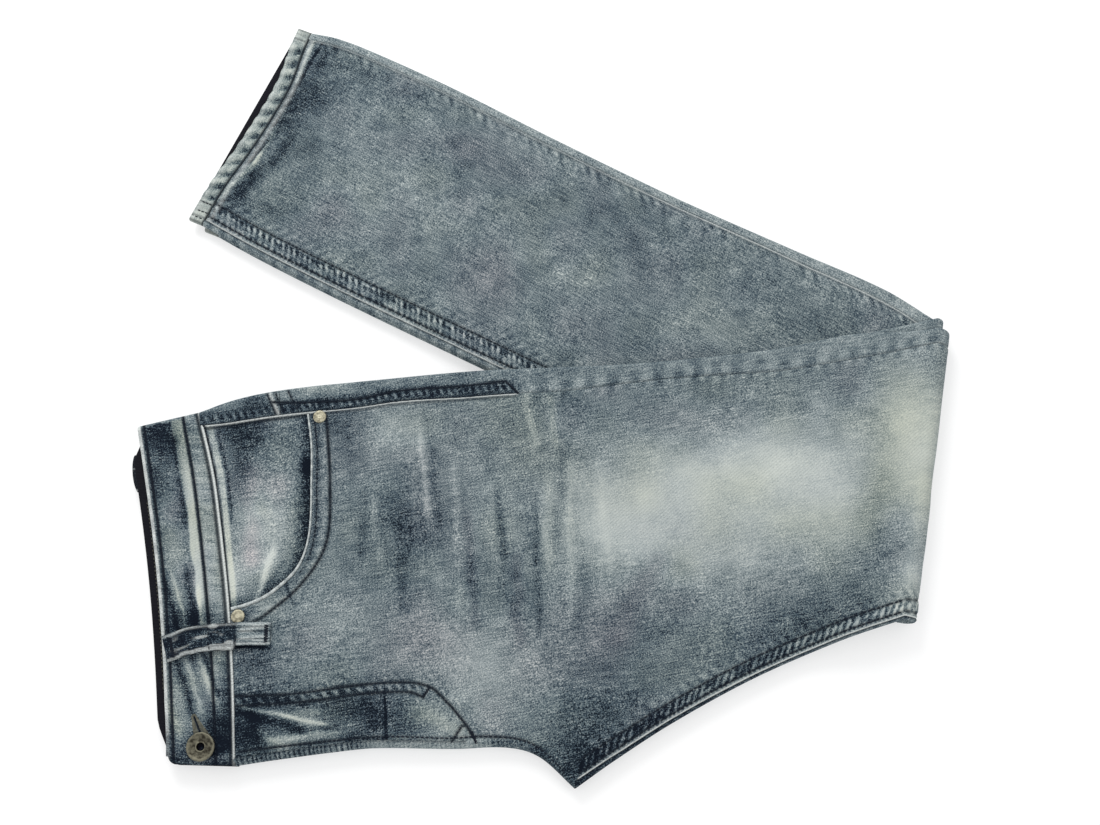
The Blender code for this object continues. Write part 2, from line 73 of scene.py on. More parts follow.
# x and y along each fold: upper legs from the waist, lower legs from the hem, all to the knee
SIDE_FOLD_UPPER = (
    (-0.2285, -0.0030), (-0.2070, 0.0054), (-0.1810, 0.0116), (-0.1420, 0.0168),
    (-0.0890, 0.0206), (-0.0300, 0.0238), (0.0490, 0.0275), (0.1010, 0.0323),
    (0.1500, 0.0385), (0.1910, 0.0472), (0.2300, 0.0556), (0.2583, 0.0622),
)
FRONT_FOLD = (
    (-0.1875, -0.2246), (-0.1645, -0.2212), (-0.1290, -0.2166), (-0.1050, -0.2143),
    (-0.0570, -0.2147), (-0.0250, -0.2140), (-0.0060, -0.2196), (0.0148, -0.2376),
)
INSEAM_UPPER = (
    (0.0148, -0.2376), (0.0390, -0.2212), (0.0750, -0.1990), (0.1250, -0.1728),
    (0.1750, -0.1520), (0.2160, -0.1385),
)
SIDE_FOLD_LOWER = (
    (-0.1730, 0.2885), (-0.1540, 0.2840), (-0.1270, 0.2722), (-0.0680, 0.2416),
    (0.0035, 0.2006), (0.0870, 0.1546), (0.1680, 0.1138), (0.2260, 0.0850), (0.2583, 0.0622),
)
INSEAM_LOWER = (
    (-0.2390, 0.1330), (-0.2020, 0.1112), (-0.1460, 0.0812), (-0.0500, 0.0323),
    (0.0300, -0.0080), (0.1000, -0.0445), (0.1500, -0.0740), (0.1900, -0.1090),
    (0.2160, -0.1385),
)
# Where the left front's edge lies beside the side fold: x on the table, distance in
SIDE_SEAM_LINE = (
    (-0.2285, 0.0095), (-0.2236, 0.0115), (-0.2076, 0.0156), (-0.1755, 0.0178),
    (-0.1316, 0.0181), (-0.1000, 0.0165), (-0.0576, 0.0177), (-0.0207, 0.0174),
    (0.0065, 0.0170), (0.0558, 0.0134), (0.1060, 0.0135), (0.1563, 0.0166),
    (0.2065, 0.0190), (0.2583, 0.0205),
)
WAIST_TOP_SIDE = (-0.2665, -0.0125)
WAIST_TOP_FRONT = (-0.2262, -0.2236)
# Places: the crotch, the ends of the legs, and the end of the yoke
CROTCH = 0.495
LEFT_END = 2.978
RIGHT_END = 3.0
YOKE_END = 0.105
# How far in from the side fold the side seam lies: right thigh, knee, lower leg
SIDE_SEAM = 0.0150
KNEE_SEAM = 0.0095
SHIN_SEAM = 0.0065
# How far the left leg's side fold stays in at the knee and on the lower leg, and where it starts
KNEE_STEP = 0.0090
SHIN_STEP = 0.0035
KNEE_STEP_START = 0.86
# How far a panel comes back in round a fold
RETURN = 0.0120
# The upper legs' rise onto the lower ones: its length, and how far off from them it ends
RAMP = 0.0550
RAMP_CLEARANCE = 0.0120
# The gap between the waistband's folds
BAND_GAP = 0.0005
# How far the waistband's back reaches past its front, its share at the front end, and how far
# in from the side fold it starts, is full and begins to fall
BACK_REACH = 0.0062
BACK_REACH_AT_FRONT = 0.88
BACK_REACH_FROM = 0.010
BACK_REACH_TO = 0.024
BACK_REACH_OUT = 0.186
# How far the waistband's back stays in at the centre back
CENTRE_BACK_STEP = 0.0040
# Width of a hem, and how far its back reaches past its front
HEM_WIDTH = 0.0110
HEM_BACK_REACH = 0.0038

# ---- spacing of the shells --------------------------------------------------------------------
# Steps along the leg, and close steps across it within a margin of each seam
FINE = 0.00125
FINEST = 0.00106
COARSE = 0.0070
SEAM_STEP = 0.00065
SEAM_MARGIN = 0.0130

# How far a front panel's edge stays in from the inseam fold, so that the back panel shows
EDGE_STRIP = 0.0040
# The left leg's strip narrows: share of the way from the crotch to the knee, millimetres
LEFT_STRIP = ((0.0, 4.0), (0.14, 2.7), (0.35, 2.2), (0.65, 1.7), (1.0, 1.5))
# The direction that the warp runs in on the table, in degrees, on the upper and the lower legs
UPPER_WARP = 10.5
LOWER_WARP = 150.8
# Depth of the roll at the centre front, how far a strip goes in under a panel, and how far
# a panel's edges are turned down
FRONT_ROLL_DEPTH = 0.0034
TUCK = 0.0015
LIP = 0.0009

# How far the hem's middle is pulled up the leg: share of the way from the outseam, millimetres
HEM_BOW = ((0.0, 0.0), (0.1, 1.5), (0.28, 6.0), (0.5, 5.5), (0.66, 3.5), (0.8, 0.8), (1.0, 0.0))

# ---- wear, and a few painted shadows: soft oval patches, in millimetres on the table -----------
# x, y of the middle, half length, half width, turn in degrees, how much paler, tint
Spot = namedtuple("Spot", "x y long wide turn strength tint")
THIGH_SPOTS = (
    (152, -47, 69, 38, 6, 0.39, 0.25),
    (58, -64, 48, 36, 0, 0.28, 0.15),
    (94, -92, 86, 31, -4, 0.13, 0.0),
    (229, -18, 22, 43, -12, 0.28, 0.5),
    (233, 8, 26, 21, 0, 0.09, 0.3),
    (204, -62, 11, 40, -16, -0.10, 0.5),
    (184, -127, 41, 14, 8, -0.10, 0.0),
    (240, -66, 15, 52, -10, 0.28, 0.4),
    (185, -74, 30, 20, 0, 0.13, 0.3),
    (37, -84, 28, 24, 0, 0.10, 0.0),
    (110, -103, 50, 14, 6, 0.10, 0.2),
    (127, -38, 46, 16, 6, 0.08, 0.2),
    (36, -187, 36, 17, 16, -0.12, 0.0),
    (14, -224, 17, 13, 30, -0.34, 0.0),
    (-185, -209, 12, 10, 0, -0.46, 0.0),
    (-180, -160, 13, 11, 0, -0.22, -0.2),
    (6, 2, 25, 11, 0, -0.11, 0.0),
    (-138, -11, 17, 12, 0, -0.28, 0.0),
    (-97, -15, 30, 18, 0, 0.20, 0.0),
    (-93, -79, 24, 22, 0, -0.20, -0.2),
    (-34, -113, 20, 22, 0, -0.09, 0.0),
    (-43, -170, 34, 32, 0, 0.23, 0.0),
    (-135, -140, 21, 17, 0, 0.13, 0.1),
    (-124, -186, 50, 14, 4, -0.17, 0.0),
    (-95, -199, 20, 11, 0, -0.25, 0.0),
    (-179, -194, 17, 21, 0, -0.29, 0.0),
    (24, -207, 33, 19, 20, -0.18, 0.0),
    (148, -143, 41, 12, 20, -0.17, 0.0),
    (-153, -151, 26, 14, 0, -0.01, -0.3),
    (-19, -24, 26, 42, 0, 0.05, 0.3),
    (12, -150, 40, 21, 0, -0.01, -0.6),
    (-80, -150, 24, 21, 0, 0.05, -0.6),
    (230, -118, 30, 16, 12, 0.38, 0.3),
    (250, -40, 9, 100, -12, 0.16, 0.2),
    (-147, -209, 11, 5, 0, 0.14, 0.0),
    (-139, -175, 9, 7, 0, 0.10, 0.0),
    (-190, -136, 8, 5, 0, -0.30, -0.3),
    (24, -54, 15, 13, 0, 0.07, 0.1),
    (-84, 14, 12, 6, 0, 0.15, 0.0),
    (-18, 14, 9, 6, 0, -0.10, 0.0),
    (202, -112, 13, 14, 0, -0.09, 0.0),
    (148, -80, 28, 10, 0, 0.06, 0.1),
    (-176, -129, 8, 5, 0, 0.18, 0.0),
)
SHIN_SPOTS = (
    (-188, 215, 43, 12, 62, -0.32, 0.0),
    (-130, 254, 50, 8, -27, -0.11, 0.0),
    (-165, 238, 24, 20, -26, -0.17, 0.0),
    (-170, 191, 17, 17, 0, -0.14, 0.0),
    (-189, 140, 14, 12, 0, -0.08, 0.0),
    (-215, 160, 21, 10, 60, -0.22, 0.0),
    (-115, 160, 49, 29, -26, 0.09, 0.2),
    (48, 133, 42, 21, -26, -0.08, 0.1),
    (17, 95, 24, 15, -26, 0.09, 0.4),
    (107, 61, 38, 18, -26, 0.07, 0.2),
    (-63, 191, 35, 16, -26, -0.04, -0.4),
    (-149, 224, 21, 15, -26, 0.05, 0.0),
    (-47, 99, 35, 22, -26, 0.01, -0.6),
    (181, 62, 35, 15, -26, -0.04, 0.0),
    (-152, 140, 21, 16, 0, 0.01, -0.5),
)
STRIP_SPOTS = (
    (-192, 3, 9, 7, 0, -0.22, 0.0),
    (-153, 13, 17, 4, 0, 0.24, 0.2),
    (-120, 8, 26, 5, 0, -0.08, 0.0),
)
FACING_SPOTS = (
    (-202, -13, 21, 14, -20, -0.38, 0.0),
    (-178, -83, 15, 36, 0, 0.25, 0.3),
    # Painted shadow along the inside of the pocket mouth
    (-156, -72, 6, 38, 0, -0.26, 0.0),
    (-191, -114, 9, 18, 0, 0.14, -0.7),
    (-171, -22, 13, 11, 0, -0.07, 0.0),
    (-188, -116, 9, 14, 0, -0.12, 0.0),
    # Painted shadow in the gap between the pocket mouth and the facing
    (-156.0, -40, 3.7, 4.8, 0, -0.92, 0.0),
    (-197, -31, 8, 15, -10, -0.32, 0.0),
    (-195, -50, 5, 14, 0, -0.18, 0.0),
    (-170, -96, 9, 15, 0, 0.10, 0.0),
    (-197, -110, 8, 17, 0, 0.20, 0.5),
    (-186, -52, 16, 14, 0, -0.04, -0.5),
)
WAIST_SPOTS = (
    (-249, -22, 16, 15, 0, -0.39, 0.0),
    (-242, -91, 9, 28, 0, 0.09, 0.3),
    (-227, -143, 20, 11, 0, -0.34, 0.0),
    (-249, -49, 8, 17, 0, -0.12, 0.0),
    (-198, -208, 9, 20, 0, -0.50, 0.0),
    (-226, -181, 9, 21, 0, 0.14, 0.6),
    (-196, -172, 6, 22, 0, -0.26, 0.0),
    (-216, -137, 9, 6, 0, -0.45, 0.0),
    (-240, -196, 8, 24, 0, -0.30, 0.0),
    (-233, -100, 7, 20, 0, 0.16, 0.2),
    (-256, -12, 9, 9, 0, -0.22, 0.0),
    (-236, -62, 7, 21, 0, -0.07, -0.7),
    (-220, -117, 8, 21, 0, 0.07, -0.5),
    (-216, -161, 6, 7, 0, -0.30, 0.0),
    (-204, -174, 7, 11, 0, 0.22, 0.2),
    (-214, -195, 7, 10, 0, 0.18, 0.2),
    (-238, -161, 6, 9, 0, -0.22, 0.0),
    (-238, -205, 8, 14, 0, -0.30, 0.0),
    # Painted shadow round the button
    (-207, -214, 12, 12, 0, -0.30, 0.0),
    (-190, -193, 6, 30, 0, -0.26, 0.0),
    (-196, -205, 5, 12, 0, -0.16, 0.0),
)

# ---- creases and streaks, and a painted shadow line, in millimetres on the table ---------------
# from x, y to x, y, half width, how much paler, height, tint
Crease = namedtuple("Crease", "x0 y0 x1 y1 wide strength height tint")
THIGH_CREASES = (
    (-38, -55, -34, -101, 2.6, 0.11, 0.50, 0.0),
    (-33, -62, -29, -101, 2.2, -0.10, -0.30, 0.0),
    (-9, -62, -7, -144, 2.0, -0.13, -0.50, 0.0),
    (-3, -49, 0, -101, 4.0, 0.09, 0.30, 0.2),
    (13, -44, 14, -132, 2.6, 0.10, 0.40, 0.1),
    (8, -37, 4, -88, 2.6, -0.07, -0.30, 0.0),
    (-84, -22, -77, -69, 2.4, 0.15, 0.40, 0.0),
    (-76, -29, -70, -75, 3.3, -0.09, -0.30, 0.0),
    (-117, -56, -118, -101, 3.0, -0.09, -0.40, 0.0),
    (-112, -62, -106, -101, 2.4, 0.12, 0.30, 0.0),
    (-51, -75, -47, -138, 3.3, -0.08, -0.30, -0.4),
    (32, -44, 33, -126, 5.3, 0.05, 0.30, 0.0),
    (-61, -42, -57, -126, 2.6, 0.09, 0.20, 0.0),
    (-16, 2, -10, -24, 2.6, 0.13, 0.30, 0.1),
    (0, 2, 4, -24, 2.6, 0.09, 0.30, 0.3),
    (-95, -75, -90, -126, 3.3, -0.11, -0.30, 0.0),
    (-22, -101, -20, -150, 4.0, -0.07, -0.20, -0.5),
    (22, -101, 18, -150, 4.6, -0.07, -0.20, 0.0),
    (69, -101, 43, -150, 7.9, -0.08, -0.40, -0.5),
    (203, -121, 171, -151, 6.6, -0.05, -0.30, 0.0),
    (203, -84, 219, -127, 6.0, -0.06, -0.40, 0.0),
    (86, -138, 6, -180, 9.2, -0.07, -0.20, 0.0),
    (-129, -22, -127, -42, 4.0, -0.09, -0.20, 0.0),
    (-182, -191, -139, -200, 1.5, 0.40, 0.50, 0.3),
    (-186, -193, -149, -205, 3.0, -0.26, -0.50, 0.0),
    (-152, -205, -131, -203, 1.8, -0.24, -0.30, 0.0),
    (-172, -206, -164, -210, 2.0, 0.12, 0.40, 0.2),
    (-164, -209, -130, -206, 2.6, 0.20, 0.50, 0.2),
    (-180, -189, -174, -210, 2.6, -0.18, -0.30, 0.0),
    (-168, -186, -150, -189, 1.8, -0.22, -0.30, 0.0),
    (-132, -190, -105, -195, 7.0, -0.16, -0.20, 0.0),
    (-122, -211, -104, -209, 3.0, -0.20, -0.20, 0.0),
    (-156, -196, -132, -194, 2.6, 0.12, 0.30, 0.2),
    (-100, -186, -98, -206, 0.8, -0.50, -0.50, 0.0),
    (-149, -213, -108, -203, 3.3, -0.16, -0.30, 0.0),
    (-93, -207, -87, -211, 3.3, 0.11, 0.20, 0.3),
    (-78, -195, -54, -204, 4.6, 0.11, 0.30, 0.3),
    (-126, -194, -102, -199, 2.6, -0.08, -0.20, 0.0),
    # A painted shadow just below the belt loop's lower edge
    (-191, -154.4, -178, -154.8, 0.9, -0.60, -0.40, 0.0),
    (-164, -116, -161, -123, 1.2, -0.26, -0.40, 0.0),
)
SHIN_CREASES = (
    (-171, 280, -181, 250, 1.4, 0.26, 0.60, 0.5),
    (-165, 281, -179, 248, 1.2, -0.36, -0.50, 0.0),
    (-196, 203, -205, 183, 1.6, 0.28, 0.70, 0.4),
    (-205, 183, -223, 160, 2.2, 0.26, 0.60, 0.4),
    (-199, 197, -208, 184, 0.8, -0.40, -0.50, 0.0),
    (-189, 201, -199, 183, 3.0, 0.12, 0.40, 0.0),
    (-185, 197, -194, 181, 3.0, -0.16, -0.40, 0.0),
    (-201, 178, -214, 158, 3.4, -0.14, -0.30, 0.0),
    (-159, 272, -164, 262, 3.0, -0.20, -0.40, 0.0),
)
FACING_CREASES = (
    (-182, -124, -175, -98, 2.2, 0.28, 0.50, 0.0),
    (-178, -124, -168, -104, 2.2, -0.14, -0.40, 0.0),
    (-191, -43, -188, -101, 5.3, 0.07, 0.20, -0.6),
)
WAIST_CREASES = (
    (-256, -43, -240, -126, 4.0, -0.09, -0.20, 0.0),
    (-238, -118, -229, -143, 1.8, -0.30, -0.50, 0.0),
    (-233, -116, -224, -142, 1.4, 0.22, 0.40, 0.3),
    (-226, -112, -219, -140, 2.2, -0.26, -0.50, 0.0),
    (-217, -124, -214, -138, 1.4, 0.24, 0.40, 0.6),
    (-242, -24, -231, -74, 2.2, -0.20, -0.40, 0.0),
    (-227, -166, -215, -194, 2.4, -0.32, -0.60, 0.0),
    (-222, -163, -210, -192, 1.6, 0.16, 0.50, 0.2),
    (-213, -163, -200, -189, 2.2, 0.24, 0.60, 0.4),
    (-209, -165, -202, -183, 1.5, -0.30, -0.50, 0.0),
    (-235, -187, -223, -204, 3.3, 0.14, 0.30, 0.6),
    (-205, -221, -193, -220, 2.6, 0.33, 0.30, -0.5),
    (-228, -198, -225, -216, 3.3, -0.13, -0.20, 0.0),
)

# ---- sewn lines, in millimetres on the table ----------------------------------------------------
# The pocket's mouth, and the row sewn along it, both from the side seam
POCKET_MOUTH = (
    (-158.0, 3.0), (-157.4, -4.7), (-154.0, -25.0), (-152.6, -46.5), (-151.8, -83.7),
    (-157.3, -104.7), (-171.8, -120.4), (-184.4, -127.6), (-196.0, -131.2), (-201.5, -132.4),
)
POCKET_ROW = (
    (-146.0, -4.0), (-144.6, -12.8), (-140.3, -53.7), (-140.7, -90.1), (-154.2, -115.4),
    (-175.7, -135.3), (-190.0, -144.0),
)
# The pocket's two sewn rows show where y on the table is more than this
POCKET_ROW_SHOWN = -136.0
MOUTH_ROW_SHOWN = -98.0
# The fly's two curved rows from the waist, the point beside them, and the centre front's row
J_OUTER = (
    (-190.1, -184.2), (-155.8, -182.9), (-121.1, -178.2), (-87.9, -175.8), (-72.7, -178.7),
    (-64.6, -185.2), (-54.1, -196.4), (-46.7, -206.3), (-44.2, -211.5),
)
J_INNER = ((-189.6, -190.0), (-144.1, -187.1), (-115.4, -182.9), (-85.3, -181.7), (-76.7, -184.6))
FLY_POINT = ((-59.1, -211.5), (-52.8, -201.6), (-49.8, -201.6), (-44.2, -211.5))
CENTRE_ROW = (
    (-185.0, -216.6), (-149.1, -212.3), (-101.7, -207.9), (-59.2, -208.7), (-41.3, -207.7),
    (-21.5, -208.9), (-7.8, -213.6), (1.2, -221.0), (9.4, -228.6),
)
# The side strip's sewn row, and across it the yoke's seam and sewn rows
STRIP_ROW = (
    (-181.4, 3.5), (-163.7, 3.2), (-126.6, 5.4), (-99.0, 10.2), (-57.7, 11.8), (-28.6, 15.0),
)
YOKE_SEAM = ((-184.6, 12.5), (-183.1, 9.1), (-176.2, -5.4))
YOKE_ROWS = (
    ((-185.6, 11.8), (-184.6, 8.6), (-178.2, -5.6)),
    ((-180.6, 12.0), (-179.0, 8.6), (-173.4, -4.2)),
    ((-172.5, 14.0), (-171.4, 11.2), (-164.0, -2.6)),
)
# x on the table up to which the side seam has its sewn rows
SIDE_ROW_END = -20.0
# Short sewn lines across the corner of the right leg's hem
HEM_END_ROWS = (
    ((-242.9, 151.9), (-233.2, 147.7)), ((-245.6, 145.4), (-235.4, 141.3)),
    ((-247.4, 141.0), (-238.6, 136.9)),
)
# Where the pocket's rolled edge goes in under the waistband
PIPING_END = -197.4


# ---- small tools ---------------------------------------------------------------------------------
# How strongly creases show, and in millimetres how often they wander and how softly they end
CREASE_CONTRAST = 1.4
CREASE_PITCH = 14.0
CREASE_END = 6.0
# A sewn line's furrow, in millimetres: half its width, and its depth
GROOVE = 1.0
GROOVE_DEPTH = 0.35
# How dark a sewn line is: unfaded indigo along its stitches, and painted shade in its furrow
SEWN_AND_SHADE = 0.95
# Random values in an uneven row and along each side of a lattice, before they repeat
ROW_COUNT = 600
LATTICE = 64


def smooth(share):
    """0 below 0, 1 above 1, and an even rise between."""
    share = np.clip(share, 0.0, 1.0)
    return share * share * (3 - 2 * share)


def mix(low, high, share):
    return low + (high - low) * share


def bell(distance, wide):
    return np.exp(-(distance / wide) ** 2)


def on_line(distance, wide):
    """1 on a line and close beside it, and 0 away from it."""
    return np.minimum(1.4 * bell(distance, wide), 1.0)


def by_direction(x, y, degrees):
    """Distances along and across a direction on the table."""
    turn = math.radians(degrees)
    return x * math.cos(turn) + y * math.sin(turn), y * math.cos(turn) - x * math.sin(turn)


def through(knots, values, at):
    """A smooth curve through the values at the knots."""
    number = np.arange(len(knots))
    before, after = np.maximum(number - 1, 0), np.minimum(number + 1, len(knots) - 1)
    slopes = (values[after] - values[before]) / (knots[after] - knots[before])
    span = np.clip(np.searchsorted(knots, at, side="right") - 1, 0, len(knots) - 2)
    width = knots[span + 1] - knots[span]
    t = (at - knots[span]) / width
    bends = slopes[span] * (t ** 3 - 2 * t ** 2 + t) + slopes[span + 1] * (t ** 3 - t ** 2)
    return mix(values[span], values[span + 1], 3 * t ** 2 - 2 * t ** 3) + width * bends


def travelled(points):
    """Distance along a line of points, from 0 at its start."""
    return np.concatenate([[0.0], np.cumsum(np.linalg.norm(np.diff(points, axis=0), axis=1))])


def spread(points, travel, even):
    """The points of a line at even distances along it."""
    return np.stack([np.interp(even, travel, column) for column in points.T], axis=1)


def curve(points, step=1.5):
    """Evenly spaced points on a smooth curve through the given ones."""
    points = np.array(points, float)
    knots = travelled(points)
    fine = np.linspace(0, knots[-1], max(int(knots[-1] / step), 2) * 4)
    spots = np.stack([through(knots, column, fine) for column in points.T], axis=1)
    travel = travelled(spots)
    return spread(spots, travel, np.linspace(0, travel[-1], max(int(round(travel[-1] / step)), 1) + 1))


def heading(run):
    """The direction of a run across the table, and the one to its left."""
    run = run / np.linalg.norm(run, axis=-1, keepdims=True)
    return run, np.stack([-run[..., 1], run[..., 0]], axis=-1)


def near_curve(points, x, y):
    """Distance to a curve, with its sign by side, and the distance along it."""
    best = np.full(x.shape, np.inf)
    signed, travel = np.zeros(x.shape), np.zeros(x.shape)
    start = 0.0
    for (x0, y0), (x1, y1) in zip(points, points[1:]):
        run = math.hypot(x1 - x0, y1 - y0)
        ux, uy = (x1 - x0) / run, (y1 - y0) / run
        along = np.clip((x - x0) * ux + (y - y0) * uy, 0, run)
        dx, dy = x - x0 - along * ux, y - y0 - along * uy
        distance = np.hypot(dx, dy)
        closer = distance < best
        best = np.where(closer, distance, best)
        signed = np.where(closer, np.where(ux * dy - uy * dx > 0, distance, -distance), signed)
        travel = np.where(closer, start + along, travel)
        start += run
    return signed, travel


def uneven(distance, pitch, seed):
    """Smooth uneven values from -1 to 1 along a distance, one new value each pitch."""
    values = np.random.default_rng(seed).uniform(-1, 1, ROW_COUNT)
    spot = np.abs(distance) / pitch % (ROW_COUNT - 2)
    low = spot.astype(int)
    return mix(values[low], values[low + 1], smooth(spot - low))


def patches(x, y, size, seed):
    """Smooth uneven values from -1 to 1 over the cloth, one new value each size."""
    lattice = np.random.default_rng(seed).uniform(-1, 1, (LATTICE, LATTICE))
    middle = 10 * LATTICE + 0.5
    across, up = x / size + middle, y / size + middle
    i, j = np.floor(across).astype(int), np.floor(up).astype(int)
    s, t = smooth(across - i), smooth(up - j)
    low, high = (
        mix(lattice[i % LATTICE, row % LATTICE], lattice[(i + 1) % LATTICE, row % LATTICE], s)
        for row in (j, j + 1)
    )
    return mix(low, high, t)


def squares(row):
    """Turns a row of puckers into light and dark squares with soft edges."""
    return np.tanh(2.4 * row)


def puckers(along, pitch, seed):
    """An uneven row of puckers along a seam, -1 to 1."""
    wander = uneven(along, 4 * pitch, seed) * 2.2
    strength = 0.7 + 0.3 * uneven(along, 1.6 * pitch, seed + 1)
    return np.sin(2 * np.pi * along / pitch + wander) * strength


# ---- lines across the jeans ------------------------------------------------------------------------
# side and far: both ends in plan. turn: angle at the knee. seam and step: as in the solids.
Lines = namedtuple("Lines", "side far turn stack seam step lifted place")
# Lines along each half of a leg that measure its length
HALF_COUNT = 200


def edge_y(edge, x):
    """Height of an edge at x, on a smooth curve through its points."""
    return through(*np.array(edge).T, x)


def on_edge(edge, share):
    x = mix(edge[0][0], edge[-1][0], share)
    return np.stack([x, edge_y(edge, x)], axis=-1)


def stack_at(upper):
    """Height of the two flattened legs at a share of the way from the waist to the knee."""
    return mix(HIP_STACK, LEG_STACK, smooth(upper / HIP_TAPER))


def stack_over(x):
    """The same at x on the table, along the side fold."""
    start, end = SIDE_FOLD_UPPER[0][0], SIDE_FOLD_UPPER[-1][0]
    return stack_at((x - start) / (end - start))


def lines_at(places):
    """The straight lines across the jeans at the given places."""
    places = np.asarray(places, float)
    upper, lower = np.clip(places, 0, 1), np.clip(places - 2, 0, 1)
    rise = on_edge(FRONT_FOLD, np.minimum(upper / CROTCH, 1))
    thigh = on_edge(INSEAM_UPPER, np.maximum((upper - CROTCH) / (1 - CROTCH), 0))
    far = np.where((upper < CROTCH)[:, None], rise, thigh)
    is_lower = (places > 1)[:, None]
    side = np.where(is_lower, on_edge(SIDE_FOLD_LOWER, 1 - lower), on_edge(SIDE_FOLD_UPPER, upper))
    far = np.where(is_lower, on_edge(INSEAM_LOWER, 1 - lower), far)
    near_knee = smooth((upper - KNEE_STEP_START) / (1 - KNEE_STEP_START))
    return Lines(
        side, far, math.pi * np.clip(places - 1, 0, 1), stack_at(upper),
        mix(mix(SIDE_SEAM, KNEE_SEAM, near_knee), SHIN_SEAM, smooth(lower * 3)),
        mix(KNEE_STEP * near_knee, SHIN_STEP, smooth(lower * 2)), True, places,
    )


def waist_lines(shares):
    """The lines across the waistband: share 0 at the waist seam, 1 at the top edge."""
    share = np.asarray(shares, float)[:, None]
    away = np.subtract(WAIST_TOP_SIDE, SIDE_FOLD_UPPER[0])
    away = away / np.linalg.norm(away) * GAP
    side = mix(np.array(SIDE_FOLD_UPPER[0]), np.array(WAIST_TOP_SIDE), share) + away
    far = mix(np.array(FRONT_FOLD[0]), np.array(WAIST_TOP_FRONT), share) + away
    nothing = np.zeros(len(share))
    return Lines(side, far, nothing, nothing + HIP_STACK, nothing, nothing, False, nothing)


def left_edge(at):
    """How far in from the side fold the left front panel starts."""
    x = np.clip(at.side[:, 0], SIDE_SEAM_LINE[0][0], SIDE_SEAM_LINE[-1][0])
    return mix(edge_y(SIDE_SEAM_LINE, x), at.step + at.seam, smooth(at.place - 1))


def width_of(at):
    return np.linalg.norm(at.far - at.side, axis=1)[:, None]


def left_strip(at):
    """How far the left front panel's edge stays in from the inseam fold."""
    share = np.clip((at.place - CROTCH) / (1 - CROTCH), 0, 1)
    upper = np.interp(share, *np.array(LEFT_STRIP).T) * MM
    return mix(upper, EDGE_STRIP, smooth(at.place - 1))


def below_knee(at):
    """0 on the upper legs and 1 on the lower ones."""
    return smooth(at.place - 1)[:, None]


def over_lower_legs(plan):
    """How high the upper legs are lifted by the lower legs beneath them."""
    along = np.subtract(INSEAM_LOWER[-1], INSEAM_LOWER[0])
    x, y = plan[..., 0], plan[..., 1]
    inside = (y - edge_y(INSEAM_LOWER, x)) * along[0] / np.linalg.norm(along)
    return (LEG_STACK + GAP) * smooth((inside + RAMP + RAMP_CLEARANCE) / RAMP)


def plan_of(at, w):
    """Points on the table under the lines, w in from the side fold."""
    along = (at.far - at.side) / width_of(at)
    return at.side[:, None] + along[:, None] * w[..., None]


def plan_mm(at, w):
    """x and y of those points in millimetres."""
    return np.moveaxis(plan_of(at, w) / MM, -1, 0)


def place(at, w, z, reach=0.0):
    """Points w in from the side fold and z up the stack, moved out past a cut edge by reach."""
    w, z, reach = np.broadcast_arrays(w, z, reach)
    ahead = heading(at.far - at.side)[1][:, None]
    turn = at.turn[:, None]
    level = plan_of(at, np.clip(w, SIDE_SEAM, width_of(at) - RETURN - GAP))
    lift = over_lower_legs(level) * at.lifted
    radius = z + GAP / 2
    bent = turn > 0
    spot = plan_of(at, w) - ahead * (reach * np.cos(turn))[..., None]
    spot = spot + ahead * np.where(bent, radius * np.sin(turn), 0.0)[..., None]
    height = np.where(bent, LEG_STACK + GAP / 2 + radius * np.cos(turn), lift + z)
    return np.dstack([spot - PLAN_MIDDLE, height])


def leg_lengths():
    """Places and the length of cloth from the waist seam to each, down the middle of the leg."""
    places = np.concatenate([np.linspace(0, 1, HALF_COUNT), np.linspace(2, 3, HALF_COUNT)])
    at = lines_at(places)
    middle = (at.side + at.far) / 2
    steps = np.linalg.norm(np.diff(middle, axis=0), axis=1)
    steps[HALF_COUNT - 1] = math.pi * LEG_STACK
    return places, np.concatenate([[0.0], np.cumsum(steps)])


LENGTH_PLACES, LENGTHS = leg_lengths()


def down_leg(at):
    """Length of cloth from the waist seam to each line, in metres."""
    return np.interp(at.place, LENGTH_PLACES, LENGTHS)[:, None]


def places_between(start, end, upper_step, lower_step, bend_rows=14):
    """Places from start to end, spaced by real lengths in the upper and the lower half."""
    upper_length, lower_length = LENGTHS[HALF_COUNT - 1], LENGTHS[-1] - LENGTHS[HALF_COUNT]
    upper = np.linspace(0, 1, int(upper_length / upper_step) + 1)
    bend = np.linspace(1, 2, bend_rows + 1)
    lower = np.linspace(2, 3, int(lower_length / lower_step) + 1)
    inside = np.unique(np.concatenate([upper, bend, lower]))
    margin = 0.0004
    inside = inside[(inside > start + margin) & (inside < end - margin)]
    return np.concatenate([[start], inside, [end]])


def graded(start, end, count):
    """Distances from start to end, one row for each line, close together near both seams."""
    near = np.arange(0.0, SEAM_MARGIN, SEAM_STEP)[None]
    first, last = start + near[:, -1:], end - near[:, -1:]
    inner = np.linspace(0, 1, count)[None, 1:-1]
    return np.hstack([start + near, mix(first, last, inner), end - near[:, ::-1]])


def grain_at(at, w, offset=0.0):
    """Cloth coordinates along the warp, which runs straight down each half of a leg, and across it."""
    x, y = np.moveaxis(plan_of(at, w) - SIDE_FOLD_UPPER[-1], -1, 0)
    bent = np.clip(at.place - 1, 0, 1)[:, None]
    down, across = by_direction(x, y, UPPER_WARP)
    lower_down, lower_across = by_direction(x, y, LOWER_WARP)
    down = mix(down, lower_down, bent) + math.pi * LEG_STACK * bent
    return np.dstack([down + offset, mix(-across, lower_across, bent)])


